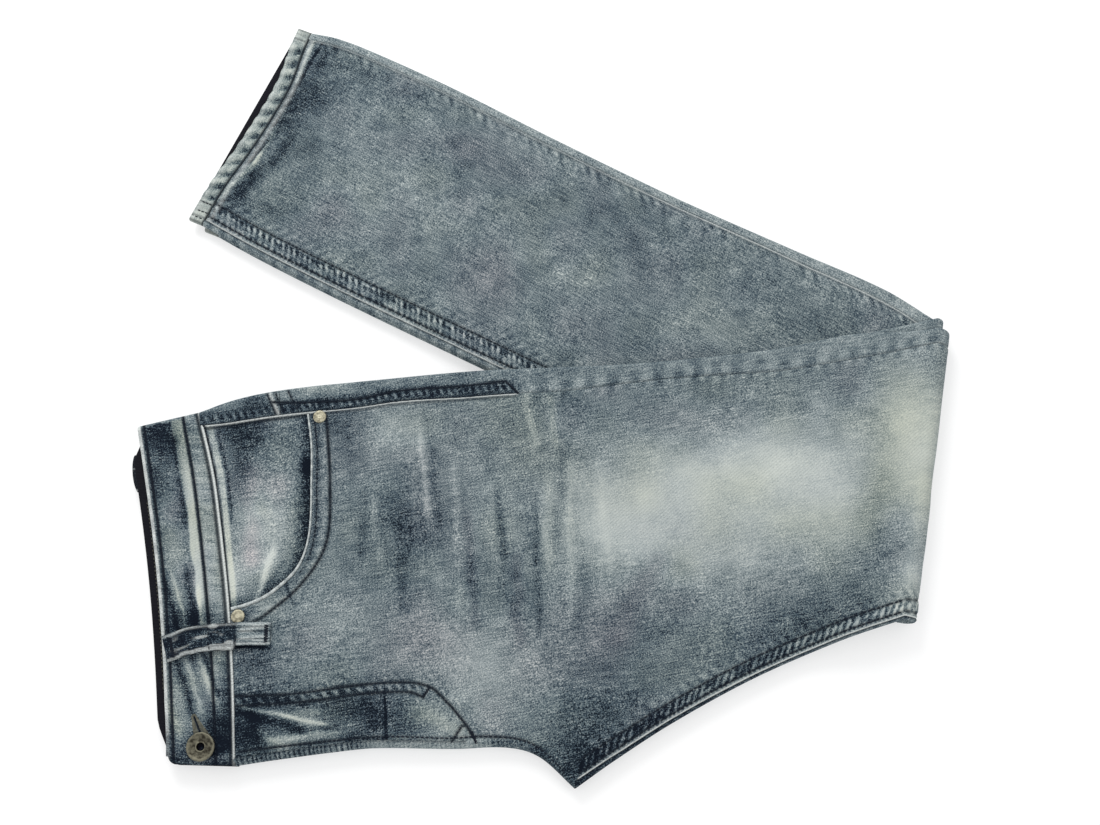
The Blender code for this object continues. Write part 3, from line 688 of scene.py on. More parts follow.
# ---- looks and meshes --------------------------------------------------------------------------------
class Look:
    """How faded, tinted, worn white, dark along seams and edges (partly painted shade) or unfaded each
    point is, and its relief in millimetres.
    """

    def __init__(self, x, fade=0.5):
        for name in (*Cloth.VALUES, "relief"):
            setattr(self, name, np.zeros(x.shape))
        self.fade += fade

    def mark(self, amount, fade, relief):
        """Makes the cloth paler and higher by an amount of both."""
        self.fade += amount * fade
        self.relief += amount * relief

    def darken(self, amount):
        self.line = np.maximum(self.line, amount)

    def whiten(self, amount):
        self.worn = np.maximum(self.worn, amount)

    def groove(self, distance, strength=1.0):
        """A sewn line: a narrow furrow in the cloth, dark with unfaded indigo and painted shade."""
        amount = on_line(distance, GROOVE) * strength
        self.darken(amount * SEWN_AND_SHADE)
        self.relief -= amount * GROOVE_DEPTH

    def ridge(self, distance, wide, strength=1.0, height=0.3):
        """A raised line with its colour worn off."""
        amount = on_line(distance, wide) * strength
        self.whiten(amount)
        self.relief += amount * height

    def roughen(self, rows, x, y, seed):
        """Adds uneven patches. Each row names a value, its strength and the size of its patches."""
        for number, (name, strength, size) in enumerate(rows):
            values = getattr(self, name)
            values += strength * patches(x, y, size, seed + number)

    def add_spots(self, spots, x, y, share=1.0):
        for spot in map(Spot._make, spots):
            along, across = by_direction(x - spot.x, y - spot.y, spot.turn)
            amount = bell(np.hypot(along / spot.long, across / spot.wide), 1.0) * share
            self.fade += amount * spot.strength
            self.tint += amount * spot.tint

    def add_creases(self, creases, x, y, share=1.0):
        for crease in map(Crease._make, creases):
            run = np.array((crease.x1 - crease.x0, crease.y1 - crease.y0), float)
            length = np.linalg.norm(run)
            along = ((x - crease.x0) * run[0] + (y - crease.y0) * run[1]) / length
            aside = ((x - crease.x0) * run[1] - (y - crease.y0) * run[0]) / length
            wander = uneven(along + 400, CREASE_PITCH, int(1000 + crease.x0))
            aside = aside + crease.wide * 0.5 * wander
            past = np.maximum(np.maximum(-along, along - length), 0)
            amount = bell(aside, crease.wide) * bell(past, CREASE_END) * share
            self.mark(amount, crease.strength * CREASE_CONTRAST, crease.height)
            self.tint += amount * crease.tint


class Cloth:
    """Collects grids of points, with their values for the material, into one mesh."""

    VALUES = ("fade", "tint", "worn", "line", "inside")

    def __init__(self):
        self.points, self.faces, self.grain = [], [], []
        self.values = {name: [] for name in self.VALUES}
        self.count = 0

    def grid(self, points, grain, look=None, keep=None, flip=False, closed=False, tube=False):
        """A sheet of quads. closed joins the last row to the first, and tube joins the columns."""
        look = look or Look(points[..., 0], 0.0)
        values = {name: getattr(look, name) for name in self.VALUES}
        if tube:
            points, grain = np.swapaxes(points, 0, 1), np.swapaxes(grain, 0, 1)
            values = {name: value.T for name, value in values.items()}
        rows, columns = points.shape[:2]
        ids = self.count + np.arange(rows * columns).reshape(rows, columns)
        if closed or tube:
            ids = np.vstack([ids, ids[:1]])
        quads = np.stack([ids[:-1, :-1], ids[:-1, 1:], ids[1:, 1:], ids[1:, :-1]], axis=-1)
        quads = quads.reshape(-1, 4) if keep is None else quads[keep]
        self.faces.append(quads[:, ::-1] if flip else quads)
        self.points.append(points.reshape(-1, 3))
        self.grain.append(np.broadcast_to(grain, (rows, columns, 2)).reshape(-1, 2))
        for name, value in values.items():
            self.values[name].append(value.ravel())
        self.count += rows * columns

    def build(self, name, material, welded=False):
        points, faces = np.vstack(self.points), np.vstack(self.faces)
        used, faces = np.unique(faces, return_inverse=True)
        faces = faces.reshape(-1, 4)
        mesh = bpy.data.meshes.new(name)
        mesh.from_pydata(points[used].tolist(), [], faces.tolist())
        corners = np.empty(len(mesh.loops), int)
        mesh.loops.foreach_get("vertex_index", corners)
        grain = np.vstack(self.grain)[used]
        layer = mesh.uv_layers.new(name="grain")
        layer.data.foreach_set("uv", grain[corners].astype(np.float32).ravel())
        for value in self.VALUES:
            amount = np.concatenate(self.values[value])[used].astype(np.float32)
            mesh.attributes.new(value, "FLOAT", "POINT").data.foreach_set("value", amount)
        mesh.materials.append(material)
        mesh.shade_smooth()
        if welded:
            joined = bmesh.new()
            joined.from_mesh(mesh)
            bmesh.ops.remove_doubles(joined, verts=joined.verts, dist=1e-6)
            joined.to_mesh(mesh)
            joined.free()
        item = bpy.data.objects.new(name, mesh)
        bpy.context.scene.collection.objects.link(item)
        return item


def one_grid(name, material, *grid, **options):
    """A piece made of a single grid."""
    cloth = Cloth()
    cloth.grid(*grid, **options)
    return cloth.build(name, material)


# ---- the panels -----------------------------------------------------------------------------------
# The felled seam's two sewn rows, in millimetres in from the front panel's edge: thigh, lower leg
INSEAM_ROW_OUTER = (3.2, 3.4)
INSEAM_ROW_INNER = (10.6, 14.0)
# Pitch of the puckers beside them, in millimetres
PUCKER_PITCH = 7.6
# Width of the hips and of the leg's end, in millimetres
HIP_WIDTH = 225.0
HEM_SPAN = 168.0
# How faded a leg is before it is worn, and how much less its lower half is
LEG_FADE = 0.463
SHIN_DARKER = 0.018
# What is uneven over a leg: value, strength, size of its patches in millimetres
LEG_UNEVEN = (
    ("relief", 0.35, 31), ("relief", 0.14, 12), ("fade", 0.03, 17), ("fade", 0.02, 6), ("tint", 0.35, 23),
)
# Where a panel is pressed on something all its relief goes in, by this share of it, or by the
# whole of it where the relief is deeper than this in millimetres
PRESSED = 0.6
DEEP = -0.8
# Places up to which the right front lies on the table, and from which the left front does
RIGHT_LIES_TO = 1.4
LEFT_LIES_FROM = 1.6
# How far past the pocket's mouth the panel is cut away, in millimetres, and the place where this ends
MOUTH_CUT = 0.3
MOUTH_CUT_END = 0.3


def leg_look(at, w, seed):
    """The wear and creases of a leg, on either side of the stack, and a painted shadow under the belt
    loop.
    """
    x, y = plan_mm(at, w)
    low = below_knee(at)
    look = Look(x, LEG_FADE - SHIN_DARKER * low)
    look.add_spots(THIGH_SPOTS, x, y, 1 - low)
    look.add_creases(THIGH_CREASES, x, y, 1 - low)
    look.add_spots(SHIN_SPOTS, x, y, low)
    look.add_creases(SHIN_CREASES, x, y, low)
    look.roughen(LEG_UNEVEN, x, y, seed)
    whiskers = uneven(x + 0.12 * y + 700 + 1.6 * uneven(y + 400, 21.0, seed + 6), 4.4, seed + 7)
    shown = bell(np.hypot((x + 45) / 75, (y + 80) / 52), 1.0) * (1 - low)
    look.mark(whiskers * shown, 0.07 + 0.03 * patches(x, y, 19, seed + 8), 0.14)
    return look, x, y


def by_knee(travel):
    """0 at the crotch and 1 towards the knee fold, where the seams are more worn."""
    return smooth((travel / 1000 - 0.29) / 0.15)


def felled(look, edge, travel, low, share):
    """A felled inseam: two sewn rows with puckers between, from the panel's edge inwards."""
    outer = mix(*INSEAM_ROW_OUTER, low)
    inner = mix(*INSEAM_ROW_INNER, low)
    slant = travel - 0.35 * edge
    row = mix(puckers(slant, 5.2, 11), puckers(slant, 4.3, 13), low)
    row = squares(row + 0.8 * patches(slant, 1.6 * edge, 3.4, 16) - 0.15)
    beside_rows = bell(edge - inner + 3.4, 2.4) + 0.7 * bell(edge - outer - 1.2, 1.6)
    between = smooth((inner - edge) / 1.5) * smooth((edge - outer + 0.6) / 1.2) * share
    between = between * mix(1.0, beside_rows, low)
    base = mix(0.34 * by_knee(travel) - 0.23, -0.03, low)
    look.mark(between, base + mix(0.31, 0.46, low) * row, 0.25 + 0.30 * row)
    look.fade += 0.10 * smooth(outer - edge) * share
    waves = puckers(travel + 0.9 * edge + (outer + inner) / 2, PUCKER_PITCH, 12)
    look.mark(bell(edge - inner - 4.5, 3.2) * share * waves, 0.16, 0.12)
    look.ridge(edge - 0.4, 0.55 - 0.1 * low, share * (1.0 - 0.3 * low), 0.15)
    broken = 0.66 + 0.34 * puckers(travel, 6.1, 14)
    for sewn in (outer, inner):
        look.groove(edge - sewn, share * broken)
    ticks = squares(puckers(travel + 0.4 * edge, 3.0, 15)) * share
    look.fade += 0.26 * ticks * bell(edge - (outer + 0.8) / 2 - 0.3, 1.2)


def fly_look(look, x, y):
    """The fly: a J of two sewn rows, and a row along the centre front."""
    outer, along = near_curve(curve(J_OUTER), x, y)
    inner, _ = near_curve(curve(J_INNER), x, y)
    point, _ = near_curve(FLY_POINT, x, y)
    centre, along_centre = near_curve(curve(CENTRE_ROW), x, y)
    for distance in (outer, inner, point):
        look.groove(distance, 0.9)
    look.groove(centre, 0.75 - 0.45 * bell(x + 75, 28))
    rope = squares(puckers(along + 0.6 * outer, 6.4, 21) - 0.1)
    between = bell(np.abs(outer) - 2.6, 2.0) * bell(np.abs(inner) - 2.6, 2.0)
    look.mark(between, 0.32 * rope - 0.03, 0.15 + 0.2 * rope)
    look.fade += 0.06 * rope * bell(np.abs(outer) - 3.5, 2.2) * (1 - between)
    look.mark(puckers(along_centre + 0.4 * centre, 5.2, 22) * bell(centre + 3.4, 2.6), 0.20, 0.22)


def pocket_look(look, x, y):
    """The band round the pocket mouth: dark beside its rolled edge, pale beside its sewn row."""
    mouth, along = near_curve(curve(POCKET_MOUTH), x, y)
    row, _ = near_curve(curve(POCKET_ROW), x, y)
    rope = puckers(along + 0.5 * mouth, 8.2, 31)
    band = smooth((mouth - 1.6) / 1.5) * smooth((10.5 - mouth) / 2.0)
    upper = 0.3 + 0.7 * smooth((y + 125) / 30)
    dark = bell(mouth - 3.9, 2.4) * upper * (0.75 + 0.25 * patches(x, y, 3.0, 32))
    look.mark(band, 0.08 * rope, 0.18 + 0.14 * rope)
    look.fade += 0.11 * bell(mouth - 8.4, 1.7) - 0.20 * dark
    look.groove(mouth - 3.6, 0.35 * upper)
    look.groove(row)
    look.relief -= 0.9 * bell(mouth, 1.3)
    return mouth


def below_waist(at, across):
    """How far down the leg from the bowed waist seam, in millimetres, at a distance across."""
    return (down_leg(at) - band_bow(across / HIP_WIDTH, 0.0)) / MM


def waist_edge_look(look, at, across):
    """Below the waist seam the panel is gathered in small puckers, and dark in the seam's furrow with
    unfaded indigo and painted shade.
    """
    below = below_waist(at, across)
    rope = puckers(across, 9.0, 41)
    look.darken(SEWN_AND_SHADE * smooth((1.8 - below) / 1.2))
    look.fade += 0.12 * rope * bell(below - 4.0, 3.0)
    look.relief += 0.2 * rope * bell(below - 4.5, 3.0) - 1.3 * smooth((2.5 - below) / 3.5)


def hem_bow(across):
    """How far the hem is pulled up the leg, in millimetres, at a share of the way across."""
    return edge_y(HEM_BOW, np.clip(across, 0, 1))


def hem_edge_look(look, at, across):
    """Before the hem the leg has a pale worn ridge, roped on a slant."""
    up = (LENGTHS[-1] - down_leg(at)) / MM - hem_bow(across / HEM_SPAN)
    rope = puckers(across + 0.8 * up, 8.5, 51)
    look.whiten(0.45 * bell(up - 3.2, 1.6) * (0.75 + 0.25 * rope))
    look.fade += bell(up - 7.0, 5.0) * (0.13 * rope - 0.03)
    # Dark where the leg meets the hem: unfaded indigo and painted shade in the joint
    look.darken(SEWN_AND_SHADE * smooth((0.9 - up) / 0.8))
    look.relief += 0.25 * rope * bell(up - 6.0, 5.0) - 1.2 * smooth((1.5 - up) / 3.0)


def side_look(look, x, side, travel, low):
    """The front panel's edge at the side seam: sewn beside the pocket, puckered lower down."""
    sewn = smooth((SIDE_ROW_END - x) / 3) * (1 - low)
    look.ridge(side - 0.5, 0.5, sewn, 0.2)
    look.groove(side - 1.9, 0.55 * sewn)
    look.fade += 0.22 * puckers(travel, 9.5, 61) * bell(side, 4.0) * (1 - low) * (1 - sewn)
    rope = puckers(travel + 0.6 * side, 7.6, 62)
    blots = squares(puckers(travel + 0.5 * side, 9.0, 63) - 0.3)
    look.fade += low * (
        bell(side - 5.0, 4.5) * (0.12 * rope - 0.05) + bell(side - 4.2, 2.2) * (0.04 - 0.14 * blots)
        + bell(side - 9.0, 5.0) * (0.03 + 0.08 * puckers(travel, 15.0, 64))
    )
    look.relief += 0.18 * rope * bell(side - 4.0, 4.0)
    look.ridge(side - 0.9, 0.45, low * (0.25 + 0.45 * smooth((840 - travel) / 200)), 0.2)
    look.groove(side - 2.1, low * 0.25)


def front_panel(name, material, top, end, upper_step, lower_step, columns, seed):
    """A front panel of one leg, whole from the waist seam round the knee to the hem."""
    places = places_between(0.0, end, upper_step, lower_step)
    at = lines_at(places)
    if top:
        start, strip = left_edge(at), left_strip(at)
    else:
        start, strip = at.seam, np.where(at.place < CROTCH, RETURN, EDGE_STRIP)
    w = graded(start[:, None], width_of(at) - strip[:, None], columns)
    side = (w - w[:, :1]) / MM
    edge = (w[:, -1:] - w) / MM
    travel = down_leg(at) / MM + 0 * w
    look, x, y = leg_look(at, w, seed)
    low = below_knee(at)
    felled(look, edge, travel, low, smooth((places - CROTCH - 0.002) / 0.006)[:, None])
    waist_edge_look(look, at, w / MM)
    side_look(look, x, side, travel, low)
    keep = None
    if top:
        fly_look(look, x, y)
        mouth = pocket_look(look, x, y)
        corners = mouth[:-1, :-1] + mouth[:-1, 1:] + mouth[1:, 1:] + mouth[1:, :-1]
        keep = ~((corners / 4 < -MOUTH_CUT) & (places[:-1, None] < MOUTH_CUT_END))
    else:
        hem_edge_look(look, at, w / MM)
    lip = np.maximum(bell(side, 0.55), bell(edge, 0.55))
    ends = np.maximum(bell(travel, 0.6), bell(travel[-1:] - travel, 0.6))
    look.relief -= np.maximum(lip, ends) * LIP / MM
    on_table = (places > LEFT_LIES_FROM if top else places < RIGHT_LIES_TO)[:, None]
    pressed = -np.abs(look.relief) * np.where(look.relief < DEEP, 1.0, PRESSED)
    rise = np.where(on_table, pressed, look.relief) * MM
    z = at.stack[:, None] + rise if top else -rise
    return one_grid(name, material, place(at, w, z), grain_at(at, w), look, keep, flip=not top)


# ---- rolled edges ---------------------------------------------------------------------------------
# How near its outermost points a rolled edge counts as its outer face
FACE = 0.0008
# How far the grain of a strip is shifted from the panel's
STRIP_GRAIN = 0.003


def roll(at, edge, sign, top_end, low_end, low, high, depth=None, flat=14):
    """A wall over the top, round a fold and back below: w and z, one row for each line."""
    edge, top_end, low_end, low, high = (
        np.broadcast_to(np.reshape(v, (-1, 1)), (len(at.place), 1))
        for v in (edge, top_end, low_end, low, high)
    )
    radius = (high - low) / 2
    depth = radius if depth is None else depth
    share = np.linspace(0, 1, flat)[None, :-1]
    turns = np.linspace(0, math.pi, 11)[None]
    centre = edge + sign * depth
    top_w, low_w = mix(top_end, centre, share), mix(low_end, centre, share)[:, ::-1]
    w = np.hstack([top_w, centre - sign * depth * np.sin(turns), low_w])
    nothing = np.zeros(top_w.shape)
    bend = (high + low) / 2 + radius * np.cos(turns)
    return w, np.hstack([high + nothing, bend, low + nothing])


def strip_look(at, w, seed, base):
    """The look of a narrow strip beside a seam, where it lies, and how far down the leg."""
    x, y = plan_mm(at, w)
    look = Look(x, base)
    look.fade += 0.05 * patches(x, y, 9, seed)
    return look, x, y, down_leg(at) / MM + 0 * w


def on_face(at, z, left):
    """Which points are on the outer face: the top of the left leg, or the bottom of the right."""
    return z > at.stack[:, None] - FACE if left else z < FACE


def tucked(look, past, line, face):
    """A dark line where the strip goes in under the front panel, and how deep it lies there."""
    look.darken(line * face)
    return smooth((past + 0.5) / 1.6) * 1.1 * face


def side_strip_look(at, w, past, face, left):
    """Ticks and a sewn row beside the pocket, blocks below, and the yoke's seam and sewn rows."""
    low = below_knee(at)
    look, x, y, travel = strip_look(at, w, 71, mix(0.30, 0.60, low))
    inward = np.abs(past)
    sewn = smooth((SIDE_ROW_END - x) / 3) * (1 - low) * face
    ticks = squares(puckers(travel + 0.3 * inward, 4.7, 72) - 0.2)
    look.fade += sewn * (0.34 * ticks * bell(inward - 4.2, 2.4) - 0.10)
    look.fade += sewn * 0.24 * smooth((inward - 7.5) / 3)
    look.relief += sewn * 0.25 * ticks * bell(inward - 4.0, 4.0)
    if left:
        row, _ = near_curve(curve(STRIP_ROW), x, y)
        # The strip's sewn row: a furrow dark with unfaded indigo and painted shade
        amount = on_line(row, GROOVE) * sewn
        look.darken(SEWN_AND_SHADE * amount)
        look.relief -= 0.3 * amount
    blocks = squares(puckers(travel, 14.0, 73)) * bell(inward - 3.5, 5.0)
    plain = (1 - low) * (1 - sewn)
    look.fade += plain * (0.18 + 0.13 * blocks + 0.06 * by_knee(travel))
    look.add_spots(STRIP_SPOTS, x, y, 1 - low)
    upper_face = (1 - low) * face
    for points in YOKE_ROWS:
        distance, _ = near_curve(curve(points), x, y)
        look.darken(0.8 * bell(distance, 0.9) * upper_face)
    distance, _ = near_curve(curve(YOKE_SEAM), x, y)
    look.whiten(0.6 * bell(distance, 1.0) * upper_face)
    dots = 0.6 + 0.4 * squares(puckers(travel, 3.0, 75))
    return look, (0.8 * sewn + 0.5 * plain * dots + 0.15 * low) * bell(past, 1.0)


def side_strip(name, material, start, end, left):
    """A back panel or yoke, as far as it shows: round the side fold, and in."""
    steps = (FINE, 4 * FINE) if left else (3 * FINE, FINE)
    at = lines_at(places_between(start, end, *steps))
    middle = at.stack / 2
    if left:
        seam = left_edge(at)
        w, z = roll(at, at.step, 1, seam + TUCK, at.step + RETURN, middle + GAP / 2, at.stack)
    else:
        seam = at.seam
        w, z = roll(at, 0.0, 1, RETURN, seam + TUCK, 0.0, middle - GAP / 2)
    face = on_face(at, z, left)
    past = (w - seam[:, None]) / MM
    look, line = side_strip_look(at, w, past, face, left)
    rise = (look.relief - tucked(look, past, line, face)) * MM
    z = z + rise if left else np.maximum(z - rise, 0.0)
    return one_grid(name, material, place(at, w, z), grain_at(at, w, STRIP_GRAIN), look, flip=True)


def inseam_strip(name, material, start, end, left):
    """The back panel past the front panel's felled edge, round the inseam fold and in."""
    steps = (FINE, 3 * FINE) if left else (3 * FINE, FINE)
    at = lines_at(places_between(start, end, *steps))
    width = width_of(at)[:, 0]
    middle = at.stack / 2
    seam = width - (left_strip(at) if left else EDGE_STRIP)
    if left:
        w, z = roll(at, width, -1, seam - TUCK, width - RETURN, middle + GAP / 2, at.stack, flat=6)
    else:
        w, z = roll(at, width, -1, width - RETURN, seam - TUCK, 0.0, middle - GAP / 2, flat=6)
    low = below_knee(at)
    look, _, _, travel = strip_look(at, w, 81, 0.0)
    look.fade += mix(0.10 + 0.34 * by_knee(travel), 0.50, low)
    look.fade += mix(0.10, 0.14, low) * puckers(travel, 10.5, 82)
    past = (seam[:, None] - w) / MM
    tuck = tucked(look, past, 0.8 * bell(past, 0.9), on_face(at, z, left)) * MM
    z = z - tuck if left else z + tuck
    return one_grid(name, material, place(at, w, z), grain_at(at, w, STRIP_GRAIN), look)


def front_edge(material):
    """The right front's edge round the centre front fold, roped by the sewing."""
    at = lines_at(places_between(0.0, CROTCH, FINE, FINE))
    width = width_of(at)[:, 0]
    seam = width - EDGE_STRIP
    w, z = roll(at, width, -1, seam - TUCK, width - RETURN, 0.0, at.stack, FRONT_ROLL_DEPTH, 8)
    look, x, _, travel = strip_look(at, w, 91, 0.30)
    pale = smooth((x + 118) / 16) * smooth((-28 - x) / 14)
    ticks = squares(puckers(travel, 3.1, 92)) * (1 - 0.75 * smooth((x + 40) / 16))
    look.fade += 0.34 * pale - 0.16 * smooth((x + 20) / 18) + (0.30 - 0.22 * pale) * ticks
    top = smooth((z / at.stack[:, None] - 0.5) * 4)
    past = (seam[:, None] - w) / MM
    tuck = tucked(look, past, 0.6 * bell(past, 0.9), z > 0.01)
    z = z + (0.25 * ticks * top * (past < 0) - tuck) * MM
    return one_grid("centre_front_edge", material, place(at, w, z), grain_at(at, w, STRIP_GRAIN), look)


# ---- the pocket -----------------------------------------------------------------------------------
# The facing: the place where it ends, how far in it goes, how deep it lies and its step down the leg
FACING_END = 0.165
FACING_TO = 0.150
FACING_DROP = 0.0015
FACING_STEP = 0.0012
# The rolled edge: its radius, its step in millimetres and how deep its middle lies
PIPING = 0.00095
PIPING_STEP = 0.8
PIPING_SUNK = 0.0005


def pocket_facing(material):
    """The facing behind the pocket mouth."""
    at = lines_at(places_between(0.0, FACING_END, FACING_STEP, FINE))
    share = np.concatenate([np.linspace(0, 0.06, 18), np.linspace(0.06, 1, 112)[1:]])
    w = mix(left_edge(at)[:, None], FACING_TO, share[None])
    across = w / MM
    x, y = plan_mm(at, w)
    look = Look(x, 0.50)
    look.add_spots(FACING_SPOTS, x, y)
    look.add_creases(FACING_CREASES, x, y)
    mouth, _ = near_curve(curve(POCKET_MOUTH), x, y)
    # Painted shadow inside the pocket mouth, under its edge
    look.fade -= 0.40 * bell(mouth, 5.0) + 0.07 * bell(mouth, 12.0)
    below = below_waist(at, across)
    # Dark at the waist seam: unfaded indigo and painted shade under the waistband's edge
    look.darken(SEWN_AND_SHADE * smooth((1.9 - below) / 0.7))
    reach = 6.2 + 0.7 * uneven(across, 17.0, 99)
    stripe = smooth((below - 1.8) / 0.6) * smooth((reach - below) / 0.9)
    look.mark(stripe, 0.34, 0.4)
    long = smooth((across - 17) / 8) * smooth((86 - across) / 14)
    look.mark(long * bell(below - reach - 1.0, 1.1), -0.36, -0.5)
    side = (w - w[:, :1]) / MM
    look.ridge(side - 0.5, 0.45, 1.0, 0.1)
    look.groove(side - 2.0, 0.7)
    look.tint += 0.5 * patches(x, y, 15, 94) + 0.55 * stripe
    look.fade += 0.06 * patches(x, 6 * y, 40, 95)
    look.relief += 1.3 * smooth((3.0 - side) / 3.0) + 0.3 * patches(x, y, 22, 96)
    z = at.stack[:, None] - FACING_DROP + np.minimum(look.relief, 1.4) * MM
    return one_grid("pocket_facing_cloth", material, place(at, w, z), grain_at(at, w), look)


def pocket_piping(material):
    """The rolled edge of the pocket mouth."""
    line = curve(POCKET_MOUTH[1:], PIPING_STEP)
    line = line[line[:, 0] > PIPING_END]
    _, aside = heading(np.gradient(line, axis=0))
    travel = np.arange(len(line))[:, None] * PIPING_STEP
    size = (0.66 + 0.50 * smooth((travel - 80) / 50)) * (1.0 + 0.12 * puckers(travel, 7.0, 97))
    turns = np.linspace(0, 2 * math.pi, 13)[None]
    out = np.cos(turns) * size * PIPING
    up = np.sin(turns) * size * PIPING
    spot = line[:, None] * MM + aside[:, None] * out[..., None]
    level = stack_over(line[:, :1] * MM) - PIPING_SUNK
    look = Look(out)
    look.worn = (0.56 + 0.24 * puckers(travel, 7.0, 98)) * smooth(np.sin(turns) + 0.35)
    # The rolled edge's lower half painted dark: painted shade where it sinks into the cloth
    look.line += 0.7 * smooth(-np.sin(turns) + 0.2)
    grain = np.dstack([travel * MM + 0 * out, up])
    return one_grid("pocket_piping", material, np.dstack([spot - PLAN_MIDDLE, level + up]), grain, look)


# ---- bands ----------------------------------------------------------------------------------------
# From the waist seam to the top edge, and the radius of the front end's corner
BAND_LENGTH = 0.0391
BAND_CORNER = 0.0045
# Sewn rows, in millimetres up from the waist seam. The back's row shows past the front's top edge,
# between two shares of the way across.
BAND_ROW_INNER = 10.3
BAND_ROW_OUTER = 35.8
BACK_ROW = 41.4
BACK_ROW_SHOWN = (0.24, 0.80)
# The waistband lies in a bow: how far its middle is pulled down the leg, how much further its seam
# is, and how far the seam sags beside the pocket, in millimetres
BAND_BOW = 4.0
SEAM_BOW = 2.3
SEAM_SAG = 1.3
# What is uneven over the band: value, strength, size of its patches in millimetres
BAND_UNEVEN = (("relief", 0.3, 19), ("relief", 0.16, 8), ("fade", 0.05, 11))
# How far along the band its pale stripe goes
STRIPE_END = 148
# Both ends of the buttonhole, in millimetres on the table
BUTTONHOLE = ((-213.7, -196.5), (-207.8, -208.7))


def band_rows(length, wall, fine_step, coarse_step):
    """A folded band's rows: out along its outer face, round its edge, back inside and round."""
    rim = np.linspace(0, math.pi, 7)[1:-1]
    out = np.linspace(0, length, int(length / fine_step) + 1)
    back = np.linspace(length, 0, int(length / coarse_step) + 1)
    bulge = wall / 2 * np.sin(rim)
    distance = np.concatenate([out, length + bulge, back, -bulge])
    offset = np.concatenate([np.ones(len(out)), np.cos(rim), -np.ones(len(back)), -np.cos(rim)])
    return distance, offset


def inside_of(offset):
    """1 on a band's inner face and 0 on its outer one."""
    return np.clip((0.2 - offset)[:, None] * 4, 0, 1)


def arc_path(w, z, radius, start, end, steps, sign=1):
    """An arc of a path: w, z and its normal, angles in quarter turns."""
    turns = np.linspace(start, end, steps + 1)[1:-1] * math.pi / 2
    c, s = np.cos(turns)[None], np.sin(turns)[None]
    return w + radius * c, z + radius * s + 0 * w, sign * c + 0 * w, sign * s + 0 * w


def flat_path(start, end, z, up, steps):
    """A level part of a path."""
    w = mix(start, end, np.linspace(0, 1, steps + 1)[None])
    return w, z + 0 * w, 0 * w, up + 0 * w


def joined(*parts):
    """Parts of a path one after another."""
    return [np.hstack(columns) for columns in zip(*parts)]


def closed_ends(path, wall):
    """Adds rounded ends to a path: columns that run out and close the wall."""
    turns = np.array([0.45, 0.8, 0.97, 1.0]) * math.pi / 2
    out, thin = wall / 2 * np.sin(turns)[None], np.cos(turns)[None]

    def cap(last, before):
        w, height, nw, nz = (column[:, [last]] + 0 * out for column in path)
        away = np.sign(path[0][:, [last]] - path[0][:, [before]])
        return w + away * out, height, nw, nz * thin

    return joined([column[:, ::-1] for column in cap(0, 1)], path, cap(-1, -2))


def path_length(w):
    """Distance along each row of a path."""
    return np.cumsum(np.abs(np.diff(w, axis=1, prepend=w[:, :1])), axis=1)


def band_bow(across, up):
    """How far the waistband is pulled down the leg, in metres."""
    across = np.clip(across, 0, 1)
    bow = np.sin(math.pi * across) * (BAND_BOW + SEAM_BOW * bell(up, 6.0))
    sag = SEAM_SAG * bell(across - 0.2, 0.13) * bell(up, 12.0) * smooth(across * 12)
    return (bow + sag) * MM


def waist_path(width):
    """The band from the left front's end to the right front's, folded four deep."""
    pitch = BAND + BAND_GAP
    top, second, third, low = (BAND / 2 + pitch * level for level in (3, 2, 1, 0))
    radius = pitch / 2
    near = radius + BAND / 2 + 0 * width
    end = width - BAND / 2
    back = end - CENTRE_BACK_STEP - radius
    return joined(
        flat_path(end, near, top, 1.0, 176), arc_path(near, top - radius, radius, 1, 3, 8),
        flat_path(near, back, second, -1.0, 40), arc_path(back, second - radius, radius, 1, -1, 8, -1),
        flat_path(back, near, third, 1.0, 40), arc_path(near, third - radius, radius, 1, 3, 8),
        flat_path(near, end, low, -1.0, 50),
    )


def band_look(x, y, across, up, front):
    """The band's wear: roped below its lower row, worn at its top edge, with a pale stripe, and painted
    shade round the button and along its front end.
    """
    look = Look(x, 0.41)
    look.add_spots(WAIST_SPOTS, x, y, front)
    look.add_creases(WAIST_CREASES, x, y, front)
    look.roughen(BAND_UNEVEN, x, y, 102)
    rope = puckers(across + 0.7 * up, 9.5, 101) * bell(up - 5.5, 4.0)
    lower = up < BAND_ROW_INNER
    middle = bell(across - 92, 55)
    look.fade += lower * (0.13 + 0.15 * middle + 0.08 * rope)
    look.tint += 0.35 * lower * middle + 0.4 * patches(x, y, 13, 106)
    look.relief += 0.22 * rope
    for row in (BAND_ROW_INNER, BAND_ROW_OUTER):
        look.groove(up - row)
    front_end = smooth((across - 188) / 14)
    look.ridge(up + 0.3, 0.75, 1.0 - 0.3 * front_end, 0.1)
    look.groove(up - 1.5, 0.9)
    edge = smooth((up - BAND_LENGTH / MM + 1.5) / 0.7) * (1 - 0.8 * front_end)
    look.whiten(edge * (0.72 + 0.2 * puckers(across, 12.0, 105)))
    look.fade -= 0.26 * smooth((across - 207) / 8)
    # A dark line along the band's front end: painted shade where the end rounds down
    look.darken(0.7 * smooth((across - 221) / 1.6))
    reach = BAND_ROW_INNER + 9.0 - 2.6 * across / STRIPE_END + 0.8 * uneven(across, 13.0, 107)
    stripe = smooth((up - BAND_ROW_INNER - 0.6) / 0.7) * smooth((reach - up) / 1.8)
    stripe = stripe * smooth((STRIPE_END - across) / 12) * front
    look.mark(stripe, 0.36 - 0.06 * smooth((14 - across) / 12) + 0.10 * bell(across - 75, 40), 0.4)
    look.tint += 0.7 * stripe
    slit, _ = near_curve(BUTTONHOLE, x, y)
    look.darken(bell(slit, 1.0))
    look.relief -= 0.7 * bell(slit, 0.9)
    return look


